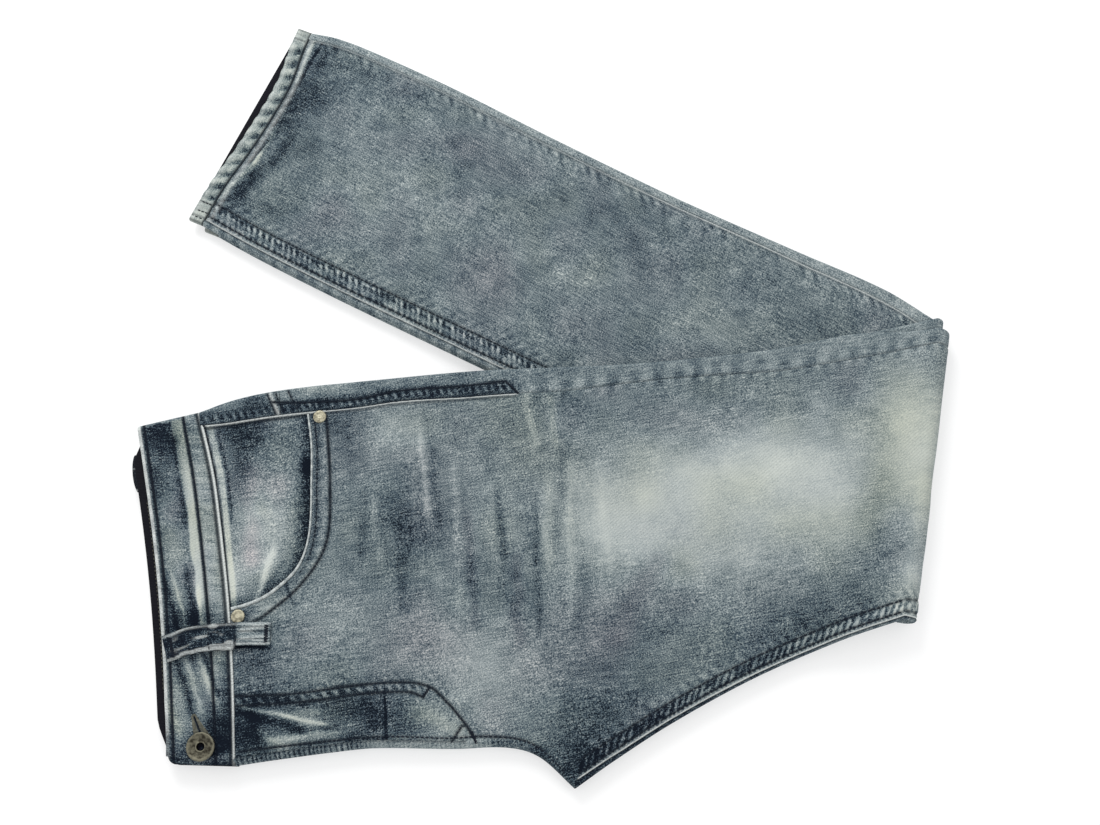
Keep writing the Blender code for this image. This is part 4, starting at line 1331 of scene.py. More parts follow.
def waistband(material):
    """One long band with its inside darker, sewn near both edges."""
    distance, offset = band_rows(BAND_LENGTH, BAND, 0.00065, 0.004)
    share = distance / BAND_LENGTH
    at = waist_lines(share)
    width = width_of(at)
    w, height, nw, nz = closed_ends(waist_path(width), BAND)
    up = (distance / MM)[:, None] + 0 * w
    bow = band_bow(w / width, up)
    x, y = plan_mm(at, w)
    pitch = BAND + BAND_GAP
    front = (height > 3.4 * pitch) & (offset > 0)[:, None]
    look = band_look(x + bow / MM, y, w / MM, up, front)
    look.inside += inside_of(offset)
    wall = (offset * BAND / 2)[:, None] + np.where(front, look.relief, 0.0) * MM
    rise = smooth((w - BACK_REACH_FROM) / (BACK_REACH_TO - BACK_REACH_FROM))
    fall = 1 - smooth((w - BACK_REACH_OUT) / (width - BACK_REACH_OUT - CENTRE_BACK_STEP))
    even = mix(1.0, BACK_REACH_AT_FRONT, w / width)
    back = np.abs(height - BAND / 2 - 1.5 * pitch) < pitch
    reach = BACK_REACH * rise * fall * even * smooth(share * 2 - 1)[:, None] * back - bow
    past = np.clip(distance - (BAND_LENGTH - BAND_CORNER), 0, BAND_CORNER)[:, None]
    inset = BAND_CORNER - np.sqrt(BAND_CORNER ** 2 - past ** 2)
    inset = inset * smooth((w - width + 3 * BAND_CORNER) / (3 * BAND_CORNER))
    points = place(at, w - inset + nw * wall, height + nz * wall, reach)
    grain = np.dstack([up * MM, path_length(w)])
    return one_grid("waistband_cloth", material, points, grain, look, closed=True)


def hem_lines(seam, distance):
    """Lines across a hem, out from its stitching."""
    at = lines_at(np.full(len(distance), seam))
    _, ahead = heading(at.far - at.side)
    out = -ahead * distance[:, None]
    return at._replace(side=at.side + out, far=at.far + out)


def hem_look(x, y, across, up, seed):
    """Slanting dark and pale marks along the hem, and dark folds at its two ends."""
    wave = puckers(across - 0.5 * up, 10.5, seed) + 0.7 * patches(across, up, 5.0, seed + 2)
    rope = squares(wave + 0.15)
    corner = smooth((14 - across) / 4) + smooth((across - 148) / 4)
    folds = np.abs((across / 3.6) % 1 - 0.5) * 3.6
    dark = smooth((-0.05 - wave) * 1.8) * bell(up - 3.0, 3.0)
    thin_ridges = smooth((wave - 0.55) * 5) * smooth((up - 1.5) / 2)
    look = Look(x, 0.54)
    look.fade += mix(0.10 - 0.56 * dark + 0.16 * thin_ridges, 0.24, corner)
    look.fade += 0.10 * patches(x, y, 5, seed + 1)
    look.tint += 0.5
    # Dark along the hem's sewn edge: unfaded indigo and painted shade
    look.darken(on_line(up, 0.9) * SEWN_AND_SHADE)
    look.darken(0.6 * bell(folds, 0.45) * corner)
    look.whiten(0.35 * bell(up - HEM_WIDTH / MM + 2.4, 1.2) * (0.7 + 0.3 * rope))
    look.relief += 0.60 * rope * smooth(up / 3) * (1 - corner)
    return look


def hem(name, material, seam, low, high, left_step, back_on_top, seed):
    """A turned hem round a flattened leg end."""
    distance, offset = band_rows(HEM_WIDTH - GAP - HEM / 2, HEM, 0.0008, 0.003)
    at = hem_lines(seam, distance + GAP)
    width = width_of(at)
    radius = (high - low - HEM) / 2
    middle = (low + high) / 2
    near = left_step + HEM / 2 + radius + 0 * width
    far = width - HEM / 2 - radius
    w, height, nw, nz = joined(
        arc_path(far, middle, radius, -0.2, 1, 6), flat_path(far, near, middle + radius, 1.0, 120),
        arc_path(near, middle, radius, 1, 3, 8), flat_path(near, far, middle - radius, -1.0, 120),
        arc_path(far, middle, radius, -1, 0.2, 6),
    )
    under = height < middle - radius * 0.99
    if back_on_top:
        upper = height > middle + radius * 0.99
        bulge = np.sin(math.pi * np.clip((w - near) / (far - near), 0, 1))
        reach = HEM_BACK_REACH * bulge * upper * np.clip(distance / HEM_WIDTH, 0, 1)[:, None]
    else:
        reach = hem_bow(w / width) * MM * under
    up = (distance / MM)[:, None] + 0 * w
    look = hem_look(*plan_mm(at, w), w / MM, up, seed)
    look.inside += inside_of(offset)
    visible = under & (offset > 0)[:, None] & (not back_on_top)
    wall = (offset * HEM / 2)[:, None] + np.where(visible, look.relief, 0.0) * MM
    points = place(at, w + nw * wall, height + nz * wall, reach)
    grain = np.dstack([path_length(w), up * MM])
    return one_grid(name, material, points, grain, look, flip=True, closed=True)


# ---- belt loops -----------------------------------------------------------------------------------
# Along the loop: x, y of its middle on the table, height of its underside above the hip
LOOP_LINE = (
    (-235.0, -156.4, 0.1), (-232.0, -155.4, 0.2), (-228.0, -154.0, 1.2), (-221.0, -151.7, 1.9),
    (-213.0, -150.2, 1.9), (-205.0, -149.3, 1.6), (-200.0, -148.9, 0.7), (-197.0, -148.7, 0.5),
    (-190.0, -148.4, 1.6), (-184.0, -148.2, 1.2), (-177.0, -148.0, 0.3), (-171.2, -147.9, 0.1),
)
LOOP_WIDTH = 0.0152
LOOP_WALL = 0.0014
# How far along the loop, in millimetres, its edge is folded in, and by how much
LOOP_FOLD = 43.0
LOOP_TAKE_IN = 0.0024
# The back's loop: how far in from the side fold its middle is, half its width, how far out it goes
BACK_LOOP_MIDDLE = 0.031
BACK_LOOP_HALF = 0.0125
BACK_LOOP_OUT = 0.0036


def along_points(table, step):
    """Even points along a table of x, y and height in millimetres."""
    table = np.array(table, float)
    travel = travelled(table)
    even = np.linspace(0, travel[-1], int(travel[-1] / step) + 1)
    dense = spread(table, travel, even)
    for _ in range(4):
        dense[1:-1] = (dense[:-2] + 2 * dense[1:-1] + dense[2:]) / 4
    return dense, even


def ribbon(line, half, wall, base, columns):
    """A strip of cloth along a line: its closed rings of points, and where each is across it."""
    _, aside = heading(np.gradient(line[:, :2], axis=0))
    top = np.linspace(-1, 1, columns)
    rim = np.linspace(math.pi / 2, -math.pi / 2, 7)[1:-1]
    bulge = wall / half / 2 * np.cos(rim)
    over = np.concatenate([top, 1 + bulge, -top, -1 - bulge])
    up = np.concatenate([np.ones(columns), np.sin(rim), -np.ones(columns), -np.sin(rim)])
    spot = line[:, None, :2] * MM + aside[:, None] * (over * half)[None, :, None]
    height = base + line[:, None, 2] * MM + wall / 2 + up[None] * wall / 2
    return np.dstack([spot - PLAN_MIDDLE, height]), over[None] + 0 * height, up[None] + 0 * height


def belt_loop_look(along, over, up):
    """Dark with pale blots on the band, then faded, with worn edges and sewn rows."""
    look = Look(over, 0.02)
    second = smooth((along - LOOP_FOLD) / 3)
    blots = patches(0.55 * along, over * 8, 2.6, 112)
    streaks = patches(0.22 * along, over * 8, 2.0, 113)
    look.fade += 0.14 * blots + second * (0.56 + 0.22 * streaks)
    threshold = 0.34 - 0.42 * smooth((-over - 0.35) / 0.5) - 0.25 * smooth((over - 0.6) / 0.3)
    pale_blots = smooth((0.6 * blots + 0.6 * streaks - threshold) * 4) * (1 - second)
    mottled = smooth((0.7 * blots + 0.7 * streaks + 0.10) * 3)
    patch = bell(np.hypot((along - 11.0) / 6.0, (over + 0.1) / 0.6), 1.0) * mottled
    look.worn += np.maximum(0.50 * pale_blots, 0.42 * patch) + 0.25 * second * smooth(streaks * 4)
    rim = bell(np.abs(over) - 0.95, 0.08)
    look.whiten(0.85 * rim * (0.6 + 0.4 * smooth(-4 * over)) * (0.72 + 0.28 * blots))
    folded = bell(along - LOOP_FOLD - 1.0, 1.0) * smooth((0.3 - over) * 3)
    look.line += 0.75 * bell(np.abs(over) - 0.36, 0.07) * second + 0.9 * folded
    look.darken(0.55 * bell(np.abs(over) - 0.70, 0.07))
    look.inside += 0.6 * (up < -0.5)
    look.relief += 0.25 * patches(along, over * 9, 8, 111) + 0.45 * bell(np.abs(over) - 0.82, 0.16)
    return look


def belt_loop(material):
    """The strip that is sewn over the waistband and folded in past the waist seam."""
    line, travel = along_points(LOOP_LINE, 0.8)
    half = LOOP_WIDTH / 2
    points, over, up = ribbon(line, half, LOOP_WALL, HIP_STACK + GAP, 26)
    along = travel[:, None] + 0 * over
    end = np.minimum(along, along[-1:] - along)
    thin = smooth(end / 0.9) * 0.94 + 0.06
    middle = HIP_STACK + GAP + (line[:, 2] * MM)[:, None] + LOOP_WALL / 2
    look = belt_loop_look(along, over, up)
    points[..., 2] = middle + (points[..., 2] - middle + look.relief * (up > 0) * MM) * thin
    points[..., 1] += LOOP_TAKE_IN * smooth((along - LOOP_FOLD) / 1.2) * smooth(-over)
    grain = np.dstack([along * MM, over * half])
    return one_grid("belt_loop_cloth", material, points, grain, look, tube=True)


def back_loop(material):
    """The end of a loop of the back, past the waistband's front."""
    whole = np.subtract(WAIST_TOP_FRONT, WAIST_TOP_SIDE)
    along, ahead = heading(whole)
    level = BAND / 2 + 2 * (BAND + BAND_GAP)
    back_edge = BACK_REACH - band_bow(BACK_LOOP_MIDDLE / np.linalg.norm(whole), BAND_LENGTH / MM)
    start = np.array(WAIST_TOP_SIDE) + along * BACK_LOOP_MIDDLE - ahead * (back_edge - GAP)
    share = np.linspace(-1, 1, 41)[:, None]
    turns = np.linspace(math.pi / 2, -math.pi / 2, 9)
    reach = BACK_LOOP_OUT * np.sqrt(np.clip(1 - share ** 2 * 0.85, 0, 1))
    wall = LOOP_WALL * 0.55 * (0.35 + 0.65 * np.sqrt(np.clip(1 - share ** 6, 0, 1)))
    out = np.pad(reach - wall + wall * np.cos(turns), ((0, 0), (1, 1)))[..., None]
    rise = wall * np.pad(np.sin(turns), 1, mode="edge")
    spot = start - PLAN_MIDDLE + share[..., None] * BACK_LOOP_HALF * along - out * ahead
    points = np.dstack([spot, level + rise])
    look = Look(rise, 0.10)
    sewn = np.maximum(0.5 * bell(share + 0.26, 0.05), 0.6 * bell(share - 0.90, 0.05))
    look.worn += sewn
    look.inside += (0.85 + 0.15 * patches(*np.moveaxis(spot / MM, -1, 0), 5, 121)) * (1 - sewn)
    return one_grid("back_loop_cloth", material, points, spot, look)


# ---- the layers inside ----------------------------------------------------------------------------
# The places between which they reach, and their step along the leg
LAYERS_SPAN = (0.002, 2.955)
LAYERS_STEP = 0.006
# How far they stay down under the pocket's facing, and the place up to which they do
FACING_DIP = 0.0016
FACING_CLEAR = 0.20


def unfaded(x):
    """The look of cloth with all its dye."""
    look = Look(x, 0.2)
    look.inside += 1.0
    return look


def lid(ring):
    """A ring's two halves side by side, to close the end of a tube."""
    first, second = np.split(ring, 2)
    return np.stack([first, second[::-1]])


def inner_layers(material):
    """What lies between the outer panels: each leg's inner cloth, one flat tube a leg."""
    cloth = Cloth()
    at = lines_at(places_between(*LAYERS_SPAN, LAYERS_STEP, LAYERS_STEP, 10))
    width = width_of(at)
    skin = DENIM + GAP
    stack = at.stack[:, None]
    middle = stack / 2
    far = width - np.where((at.place < CROTCH)[:, None], middle + DENIM, skin + 3 * GAP)
    dip = np.where((at.place < FACING_CLEAR)[:, None], FACING_DIP, 0.0)
    turns = np.linspace(math.pi / 2, 3 * math.pi / 2, 7)[None]
    share = np.linspace(0, 1, 30)[None, 1:-1]
    flat = 0 * share + 0 * width
    for left in (True, False):
        near = (at.step[:, None] if left else 0.0) + skin + 3 * GAP + 0 * width
        low, high = (middle + skin, stack - skin - dip) if left else (skin, middle - skin)
        radius = (high - low) / 2
        centre = (high + low) / 2
        out, up = radius * np.cos(turns), radius * np.sin(turns)
        w = np.hstack([
            near + radius + out, mix(near + radius, far - radius, share),
            far - radius - out, mix(far - radius, near + radius, share),
        ])
        z = np.hstack([centre + up, low + flat, centre - up, high + flat])
        points = place(at, w, z)
        grain = grain_at(at, w)
        cloth.grid(points, grain, unfaded(w), tube=True)
        for row, flipped in ((0, False), (-1, True)):
            cap = lid(points[row])
            cloth.grid(cap, lid(grain[row]), unfaded(cap[..., 0]), flip=flipped)
    return cloth.build("inner_layers", material, welded=True)


# ---- metal ----------------------------------------------------------------------------------------
# distance from the middle and height, in millimetres, from the middle out and round to the back
BUTTON_LINE = (
    (0.0, 0.20), (1.7, 0.25), (2.1, 0.60), (2.3, 1.75), (2.5, 2.20), (2.8, 2.30), (3.1, 2.15),
    (3.4, 1.95), (4.0, 1.98), (5.0, 2.05), (6.0, 2.18), (6.7, 2.40), (7.3, 2.75), (7.9, 2.88),
    (8.3, 2.62), (8.48, 2.10), (8.42, 1.55), (8.1, 1.10), (7.2, 0.55),
    (5.0, 0.30), (2.6, 0.28), (2.6, -2.0), (0.0, -2.0),
)
RIVET_LINE = (
    (0.0, 1.00), (0.8, 1.00), (1.6, 0.99), (2.4, 0.98), (2.9, 0.96), (3.2, 0.94), (3.5, 0.90),
    (3.8, 0.82), (4.05, 0.66), (4.22, 0.42), (4.25, 0.12), (4.1, -0.15), (0.0, -0.2),
)
# Where the button is on the table, the radius of its hollow hub in millimetres, painted dark as shade, and
# what it stands on
BUTTON_PLACE = (-0.2078, -0.2138)
BUTTON_HUB = 2.5
BAND_TOP = 4 * BAND + 3 * BAND_GAP
# The rivets' solids and where they are on the table, and how far they stand off the cloth
RIVETS = (("rivet_side", (-0.1496, -0.0066)), ("rivet_waist", (-0.1922, -0.1362)))
RIVET_LIFT = 0.0002
# Points round a metal piece
LATHE_STEPS = 72


def turned(name, line, plan, base, dent, seed, material, hub=0.0):
    """A round metal piece with small dents, as stamped. hub: radius of its hollow hub, painted dark as
    shade, or none.
    """
    radius, height = np.hsplit(np.array(line) * MM, 2)
    turns = np.linspace(0, 2 * math.pi, LATHE_STEPS, endpoint=False)
    x, y = radius * np.cos(turns), radius * np.sin(turns)
    z = height + patches(x / MM, y / MM, 2.2, seed) * dent * MM * (height > 0)
    points = np.dstack([x + plan[0] - PLAN_MIDDLE[0], y + plan[1] - PLAN_MIDDLE[1], z + base])
    look = Look(x, 0.0)
    look.inside += smooth((hub * MM - radius) / (0.3 * MM))
    return one_grid(name, material, points, points[..., :2], look, tube=True)


# ---- thread ---------------------------------------------------------------------------------------
# Stitches, in millimetres: from one to the next, length, and radius of the thread
STITCH_PITCH = 2.9
STITCH_LENGTH = 2.1
THREAD = 0.40
# share along a stitch, share of its thickness, height above the cloth in millimetres
STITCH_FORM = (
    (0.0, 0.35, -0.25), (0.12, 0.85, 0.05), (0.35, 1.0, 0.22), (0.65, 1.0, 0.22),
    (0.88, 0.85, 0.05), (1.0, 0.35, -0.25),
)
# The most that the cloth may rise or fall under one stitch
STEEPEST = 1.5
# Dense tacks: both ends, and half their width, in millimetres
BARTACKS = (
    ((-28.6, 14.6), (-20.7, 6.8), 0.9),
    ((-72.8, -178.7), (-76.8, -184.6), 1.0),
    ((-47.0, -205.0), (-44.0, -211.5), 1.0),
    ((-173.8, -142.0), (-173.6, -152.0), 1.3),
    ((-231.9, -149.8), (-228.8, -161.2), 1.1),
)
# The felled seam's sewn places on each half of the leg, and how high its cloth can lie
INSEAM_HALVES = ((CROTCH + 0.006, 0.995, math.inf), (2.004, 2.996, LEG_STACK + 1.5 * MM))


class Threads:
    """Lays stitches down on the built cloth."""

    def __init__(self, pieces):
        points, faces = [], []
        for piece in pieces:
            first = len(points)
            points += [vertex.co for vertex in piece.data.vertices]
            faces += [[first + i for i in face.vertices] for face in piece.data.polygons]
        self.tree = BVHTree.FromPolygons(points, faces)
        self.cloth = Cloth()
        self.ceiling = math.inf

    def top(self, spot):
        """Height of the cloth at a spot, or None where there is none below the ceiling."""
        hit = self.tree.ray_cast(Vector((spot[0], spot[1], 0.05)), Vector((0, 0, -1)))[0]
        return hit.z if hit and hit.z < self.ceiling else None

    def stitch(self, start, end, thick=THREAD):
        """One stitch between two plan points in millimetres."""
        start, end = (np.array(spot) * MM - PLAN_MIDDLE for spot in (start, end))
        low, high = self.top(start), self.top(end)
        if low is None or high is None or abs(low - high) > STEEPEST * MM:
            return
        _, aside = heading(end - start)
        share, size, lift = np.array(STITCH_FORM).T[..., None]
        turns = np.linspace(0, 2 * math.pi, 7)
        radius = size * thick * MM
        spots = mix(start, end, share)[:, None] + aside * (radius * np.cos(turns))[..., None]
        height = mix(low, high, share) + lift * thick * MM + radius * np.sin(turns)
        self.cloth.grid(np.dstack([spots, height]), spots)

    def row(self, points, pitch=STITCH_PITCH, length=STITCH_LENGTH, thick=THREAD):
        """A row of stitches along a curve."""
        spots = curve(points, pitch)
        for spot, after in zip(spots, spots[1:]):
            self.stitch(spot, spot + heading(after - spot)[0] * length, thick)

    def bartack(self, start, end, half, pitch=0.75):
        """A dense tack: stitches side by side across a line."""
        run, aside = heading(np.subtract(end, start))
        for i, spot in enumerate(curve((start, end), pitch)):
            reach = aside * half + run * 0.25 * (-1) ** i
            self.stitch(spot - reach, spot + reach, 0.36)


def inseam_row(start, end, inset, count=60):
    """Plan points in millimetres along the leg, in from the front panel's edge."""
    at = lines_at(np.linspace(start, end, count))
    w = width_of(at) - left_strip(at)[:, None] - inset * MM
    return plan_of(at, w)[:, 0] / MM


def band_line(row, start, end, count=40):
    """Plan points along the waistband at a distance up from the waist seam."""
    at = waist_lines(np.full(count, row * MM / BAND_LENGTH))
    share = np.linspace(start, end, count)[:, None]
    _, ahead = heading(at.far - at.side)
    return (plan_of(at, width_of(at) * share)[:, 0] + ahead * band_bow(share, row)) / MM


def stitching(pieces, material):
    """The dark sewn rows and tacks."""
    threads = Threads(pieces)
    fly = (J_OUTER, J_INNER, FLY_POINT[:2], FLY_POINT[2:], CENTRE_ROW)
    for row in (*fly, STRIP_ROW, *YOKE_ROWS, *HEM_END_ROWS):
        threads.row(row)
    outer = curve(POCKET_ROW, 1.0)
    threads.row(outer[outer[:, 1] > POCKET_ROW_SHOWN])
    mouth = curve(POCKET_MOUTH[1:-1], 1.0)
    _, aside = heading(np.gradient(mouth, axis=0))
    threads.row((mouth + 3.6 * aside)[mouth[:, 1] > MOUTH_ROW_SHOWN])
    for half, (start, end, ceiling) in enumerate(INSEAM_HALVES):
        threads.ceiling = ceiling
        for insets in (INSEAM_ROW_OUTER, INSEAM_ROW_INNER):
            threads.row(inseam_row(start, end, insets[half]))
    threads.ceiling = math.inf
    for row in (BAND_ROW_INNER, BAND_ROW_OUTER):
        threads.row(band_line(row, 0.02, 0.985))
    for tack in BARTACKS:
        threads.bartack(*tack)
    return threads.cloth.build("seam_thread", material)


def buttonhole_thread(pieces, material):
    """Pale stitches: close together round the buttonhole, and a row along the waistband's back."""
    threads = Threads(pieces)
    start, end = np.array(BUTTONHOLE, float)
    run, aside = heading(end - start)
    for spot in curve((start, end), 0.55):
        reach = 1.7 + 0.24 * np.linalg.norm(spot - start)
        for side in (-1, 1):
            threads.stitch(spot + side * aside * 0.5, spot + side * aside * reach, 0.34)
    for angle in np.linspace(-1.3, 1.3, 8):
        way = -run * math.cos(angle) + aside * math.sin(angle)
        threads.stitch(start + way * 0.5, start + way * 1.9, 0.30)
    threads.row(band_line(BACK_ROW, *BACK_ROW_SHOWN), 2.6, 1.5, 0.20)
    return threads.cloth.build("buttonhole_thread", material)


# ---- materials ------------------------------------------------------------------------------------
# fade, red, green, blue: from unfaded to worn white
FADE_RAMP = (
    (0.00, 0.0060, 0.0092, 0.0155), (0.25, 0.0455, 0.0700, 0.0935),
    (0.50, 0.1375, 0.1735, 0.1850), (0.75, 0.2910, 0.3320, 0.3400), (1.00, 0.5250, 0.5600, 0.5350),
)
WORN_WHITE = (0.66, 0.69, 0.67, 1.0)
# Dark of seam lines and edges: unfaded indigo, and painted shade in furrows and under the pocket's rolled
# edge
SEAM_AND_SHADE_DARK = (0.006, 0.009, 0.015, 1.0)
INSIDE_DARK = (0.006, 0.006, 0.009, 1.0)
INSIDE_PALE = (0.022, 0.022, 0.026, 1.0)
CREAM = (1.06, 1.03, 0.88, 1.0)
PINK = (1.10, 0.95, 0.98, 1.0)
DARK_THREAD = ((0.006, 0.008, 0.013, 1.0), (0.020, 0.026, 0.038, 1.0))
PALE_THREAD = ((0.002, 0.002, 0.002, 1.0), (0.25, 0.25, 0.20, 1.0))
FLOOR_TONES = ((0.50, 0.50, 0.50, 1.0), (0.52, 0.52, 0.52, 1.0))
# Red, green and blue of a metal's hollows, then of its raised parts
BUTTON_TONES = ((0.035, 0.032, 0.024), (0.205, 0.195, 0.145))
RIVET_TONES = ((0.13, 0.12, 0.085), (0.52, 0.49, 0.37))


class Recipe:
    """Short names for making a material out of nodes."""

    def __init__(self, name):
        self.material = bpy.data.materials.new(name)
        self.material.use_nodes = True
        self.tree = self.material.node_tree
        self.shader = self.tree.nodes["Principled BSDF"]
        self.place = self.node("ShaderNodeTexCoord").outputs["Object"]

    def put(self, socket, value):
        if isinstance(value, bpy.types.NodeSocket):
            self.tree.links.new(value, socket)
        else:
            socket.default_value = value

    def finish(self, surface):
        """Sets the shader's inputs by name."""
        for name, value in surface.items():
            self.put(self.shader.inputs[name], value)
        return self.material

    def node(self, kind, inputs=(), **settings):
        made = self.tree.nodes.new(kind)
        for key, value in settings.items():
            setattr(made, key, value)
        for key, value in dict(inputs).items():
            self.put(made.inputs[key], value)
        return made

    def math(self, operation, low, high=0.0, clamp=False):
        made = self.node("ShaderNodeMath", {0: low, 1: high}, operation=operation, use_clamp=clamp)
        return made.outputs[0]

    def total(self, *values):
        return functools.reduce(lambda low, high: self.math("ADD", low, high), values)

    def times(self, low, high, clamp=False):
        return self.math("MULTIPLY", low, high, clamp)

    def blend(self, share, low, high, way="MIX"):
        inputs = {0: share, 6: low, 7: high}
        made = self.node("ShaderNodeMix", inputs, data_type="RGBA", blend_type=way)
        return made.outputs[2]

    def value(self, name):
        return self.node("ShaderNodeAttribute", attribute_name=name).outputs["Fac"]

    def noise(self, place, scale, detail=2.0):
        inputs = {"Vector": place, "Scale": scale, "Detail": detail}
        return self.node("ShaderNodeTexNoise", inputs).outputs["Fac"]

    def stretched(self, place, scale):
        made = self.node("ShaderNodeMapping", {"Vector": place, "Scale": scale})
        return made.outputs["Vector"]

    def around(self, value, amount):
        """A noise as a change about its middle."""
        return self.times(self.math("SUBTRACT", value, 0.5), amount)

    def between(self, value, start, end, low, high):
        """Goes from low to high while the value goes from start to end."""
        inputs = {"Value": value, "From Min": start, "From Max": end, "To Min": low, "To Max": high}
        return self.node("ShaderNodeMapRange", inputs).outputs["Result"]

    def ramp(self, share, stops):
        """Colours by share. Each stop is its share, red, green and blue."""
        made = self.node("ShaderNodeValToRGB", {"Fac": share})
        elements = made.color_ramp.elements
        while len(elements) < len(stops):
            elements.new(0.5)
        for element, (position, *colour) in zip(elements, stops):
            element.position = position
            element.color = (*colour, 1.0)
        return made.outputs["Color"]

    def bump(self, height, distance):
        inputs = {"Height": height, "Strength": 1.0, "Distance": distance}
        return self.node("ShaderNodeBump", inputs).outputs["Normal"]


def denim(name, threads=1.62, slubs=0.66, clouds=0.35, calmest=0.17):
    """Twill: dark warp worn through to pale weft, with slubs along the leg."""
    make = Recipe(name)
    grain = make.node("ShaderNodeUVMap", uv_map="grain").outputs["UV"]
    speck = make.noise(make.place, 1420.0)
    slub = make.noise(make.stretched(grain, (70.0, 1150.0, 1.0)), 1.0)
    cross = make.noise(make.stretched(grain, (1250.0, 150.0, 1.0)), 1.0, 1.0)
    cloud = make.noise(make.place, 75.0, 3.0)
    wave = {"Scale": 190.0, "Distortion": 1.2, "Detail": 1.0, "Detail Scale": 3.0}
    wave["Vector"] = make.stretched(grain, (1.0, 1.7, 1.0))
    twill = make.node("ShaderNodeTexWave", wave, bands_direction="DIAGONAL").outputs["Fac"]
    fade = make.value("fade")
    change = make.total(
        make.around(speck, threads), make.around(slub, slubs), make.around(cross, 0.35),
        make.around(twill, 0.06), make.around(cloud, clouds),
    )
    calm = make.between(fade, 0.56, 0.90, 1.0, calmest)
    lively = make.between(fade, 0.10, 0.42, 1.45, 1.0)
    colour = make.ramp(make.total(fade, make.times(make.times(change, calm), lively)), FADE_RAMP)
    tint = make.value("tint")
    for strength, tone in ((0.8, CREAM), (-0.8, PINK)):
        toned = make.blend(1.0, colour, tone, "MULTIPLY")
        colour = make.blend(make.times(tint, strength, True), colour, toned)
    broken = make.total(0.92, make.around(speck, 1.5))
    colour = make.blend(make.times(make.value("worn"), broken, True), colour, WORN_WHITE)
    # Seam lines and edges: unfaded indigo and painted shade
    colour = make.blend(make.times(make.value("line"), 1.0, True), colour, SEAM_AND_SHADE_DARK)
    unfaded_cloth = make.blend(make.times(speck, 0.6), INSIDE_DARK, INSIDE_PALE)
    height = make.total(make.times(speck, 0.6), make.times(twill, 0.3), make.times(slub, 0.4))
    return make.finish({
        "Base Color": make.blend(make.value("inside"), colour, unfaded_cloth),
        "Roughness": make.total(0.84, make.around(speck, 0.2)),
        "Sheen Weight": 0.01,
        "Sheen Roughness": 0.5,
        "Specular IOR Level": 0.02,
        "Normal": make.bump(height, 0.00045),
    })


def thread_material(name, dark, pale, scale=1500.0):
    """Twisted sewing thread."""
    make = Recipe(name)
    speck = make.noise(make.place, scale)
    return make.finish({
        "Base Color": make.blend(speck, dark, pale),
        "Roughness": 0.85,
        "Specular IOR Level": 0.05,
        "Normal": make.bump(speck, 0.0002),
    })


def metal(name, hollow_colour, raised_colour):
    """Antique brass under worn nickel, darker in its hollows."""
    make = Recipe(name)
    cloud = make.noise(make.place, 420.0, 4.0)
    fine = make.noise(make.place, 2600.0)
    hollow = make.node("ShaderNodeNewGeometry").outputs["Pointiness"]
    share = make.math("ADD", cloud, make.around(hollow, 3.0), True)
    colour = make.ramp(share, ((0.36, *hollow_colour), (0.66, *raised_colour)))
    return make.finish({
        # The hollow hub takes the dark of unfaded cloth: painted shade
        "Base Color": make.blend(make.value("inside"), colour, INSIDE_DARK),
        "Metallic": 1.0,
        "Roughness": make.total(0.55, make.around(cloud, 0.5)),
        "Normal": make.bump(make.total(fine, cloud), 0.00012),
    })


# ---- the scene ------------------------------------------------------------------------------------
# The camera over the table: its place, its tilt in degrees, its lens
CAMERA_PLACE = (0.0, -0.2559, 0.7648)
CAMERA_TILT = 18.5
CAMERA_LENS = 40.0
WORLD_LIGHT = 0.92
# Half the side of the floor, and how far it is below the jeans
FLOOR_HALF = 3.0
FLOOR_DROP = 0.00012


def floor():
    """The pale surface that the jeans lie on."""
    make = Recipe("pale_floor")
    make.finish({
        "Base Color": make.blend(make.noise(make.place, 3.0), *FLOOR_TONES),
        "Emission Color": (1.0, 1.0, 1.0, 1.0),
        "Emission Strength": 0.50,
        "Roughness": 0.9,
        "Specular IOR Level": 0.1,
    })
    mesh = bpy.data.meshes.new("table")
    corners = [
        (x * FLOOR_HALF, y * FLOOR_HALF, -FLOOR_DROP) for x, y in ((-1, -1), (1, -1), (1, 1), (-1, 1))
    ]
    mesh.from_pydata(corners, [], [(0, 1, 2, 3)])
    mesh.materials.append(make.material)
    item = bpy.data.objects.new("table", mesh)
    bpy.context.scene.collection.objects.link(item)
    return item


def lamp(name, spot, target, size, power):
    """A soft area light."""
    data = bpy.data.lights.new(name, "AREA")
    data.shape = "DISK"
    data.size = size
    data.energy = power
    item = bpy.data.objects.new(name, data)
    item.location = spot
    item.rotation_euler = (Vector(target) - Vector(spot)).to_track_quat("-Z", "Y").to_euler()
    bpy.context.scene.collection.objects.link(item)


def studio():
    """Soft light, most of it from beyond the far edge, and the camera."""
    scene = bpy.context.scene
    scene.view_settings.view_transform = "Standard"
    world = bpy.data.worlds.new("studio")
    world.use_nodes = True
    background = world.node_tree.nodes["Background"].inputs
    background["Color"].default_value = (0.99, 0.995, 1.0, 1.0)
    background["Strength"].default_value = WORLD_LIGHT
    scene.world = world
    lamp("key", (-0.45, 1.15, 1.0), (0.0, 0.0, 0.0), 0.8, 14.0)
    data = bpy.data.cameras.new("camera")
    data.lens = CAMERA_LENS
    data.sensor_width = 36.0
    camera = bpy.data.objects.new("camera", data)
    camera.location = Vector(CAMERA_PLACE) - Vector((*PLAN_MIDDLE, 0.0))
    camera.rotation_euler = (math.radians(CAMERA_TILT), 0.0, 0.0)
    scene.collection.objects.link(camera)
    scene.camera = camera


def show(piece, slot, *nodes):
    """Attaches a piece to the root body and hides the solids that it stands for; slot is not used."""
    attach(piece, "root")
    if nodes:
        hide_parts(*nodes)
    return piece


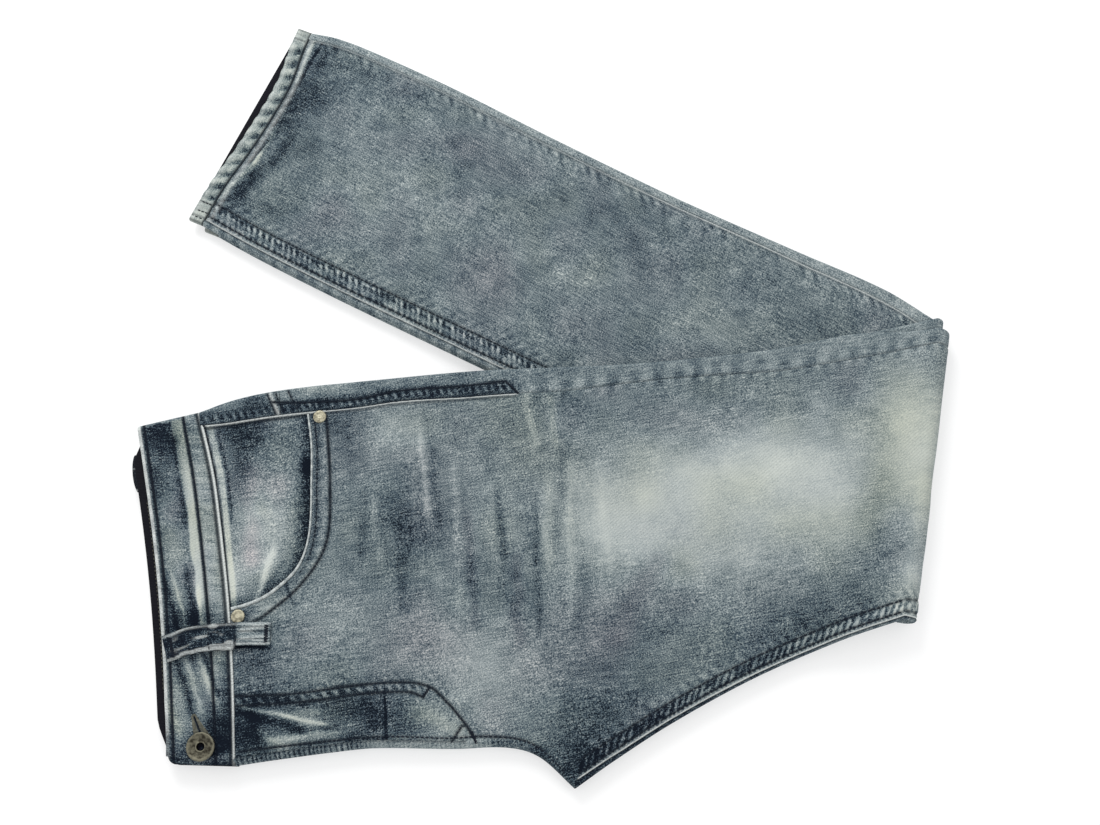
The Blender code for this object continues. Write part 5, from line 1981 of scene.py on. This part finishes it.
def main():
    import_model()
    studio()
    blue = denim("washed_denim")
    dark = denim("dark_denim_cloth")
    facing_blue = denim("facing_denim", threads=1.75, calmest=0.45)
    dark_thread = thread_material("dark_thread", *DARK_THREAD)
    pale_thread = thread_material("olive_thread", *PALE_THREAD, 700.0)
    button_metal = metal("aged_metal_face", *BUTTON_TONES)
    rivet_metal = metal("rivet_metal_face", *RIVET_TONES)

    left_front = front_panel("left_front_panel", blue, True, LEFT_END, FINEST, COARSE, 148, 1)
    right_front = front_panel("right_front_panel", blue, False, RIGHT_END, COARSE, FINEST, 110, 5)
    left_yoke = side_strip("left_yoke_strip", blue, 0.0, YOKE_END - GAP, True)
    right_yoke = side_strip("right_yoke_strip", blue, 0.0, YOKE_END - GAP, False)
    left_back = side_strip("left_back_strip", blue, YOKE_END + GAP, LEFT_END, True)
    right_back = side_strip("right_back_strip", blue, YOKE_END + GAP, RIGHT_END, False)
    left_inseam = inseam_strip("left_back_inseam_strip", blue, CROTCH + 0.0002, LEFT_END, True)
    right_inseam = inseam_strip("right_back_inseam_strip", blue, CROTCH + 0.0015, RIGHT_END, False)
    centre_edge = front_edge(blue)
    facing = pocket_facing(facing_blue)
    piping = pocket_piping(blue)
    band = waistband(blue)
    half = LEG_STACK / 2
    right_hem = hem("right_hem_band", blue, RIGHT_END, 0.0, half - GAP / 2, 0.0, False, 131)
    left_hem = hem("left_hem_band", blue, LEFT_END, half + GAP / 2, LEG_STACK, SHIN_STEP, True, 135)
    loop = belt_loop(blue)
    rear_loop = back_loop(dark)
    layers = inner_layers(dark)

    button = turned(
        "button_face", BUTTON_LINE, BUTTON_PLACE, BAND_TOP, 0.10, 141, button_metal, BUTTON_HUB
    )
    show(button, "aged_metal", "button")
    for name, plan in RIVETS:
        base = stack_over(plan[0]) + RIVET_LIFT
        cap = turned(name + "_cap", RIVET_LINE, plan, base, 0.05, 143, rivet_metal)
        show(cap, "aged_metal", name)

    outer = [
        left_front, right_front, left_yoke, left_back, right_back, centre_edge, facing, band,
        left_inseam, right_inseam, loop, right_hem,
    ]
    show(stitching(outer, dark_thread), "dark_denim")
    show(buttonhole_thread(outer, pale_thread), "dark_denim")

    for piece, node in (
        (left_front, "left_front"), (right_front, "right_front"), (left_yoke, "left_yoke"),
        (right_yoke, "right_yoke"), (left_back, "left_back"), (right_back, "right_back"),
        (left_inseam, "left_back_inseam"), (right_inseam, "right_back_inseam"),
        (centre_edge, "right_front_edge"), (facing, "pocket_facing"), (band, "waistband"),
        (right_hem, "right_hem"), (left_hem, "left_hem"), (loop, "belt_loop"),
    ):
        show(piece, "denim", node)
    show(piping, "denim")
    show(rear_loop, "dark_denim", "back_loop")
    show(layers, "dark_denim", "hidden_layers")

    floor()


main()
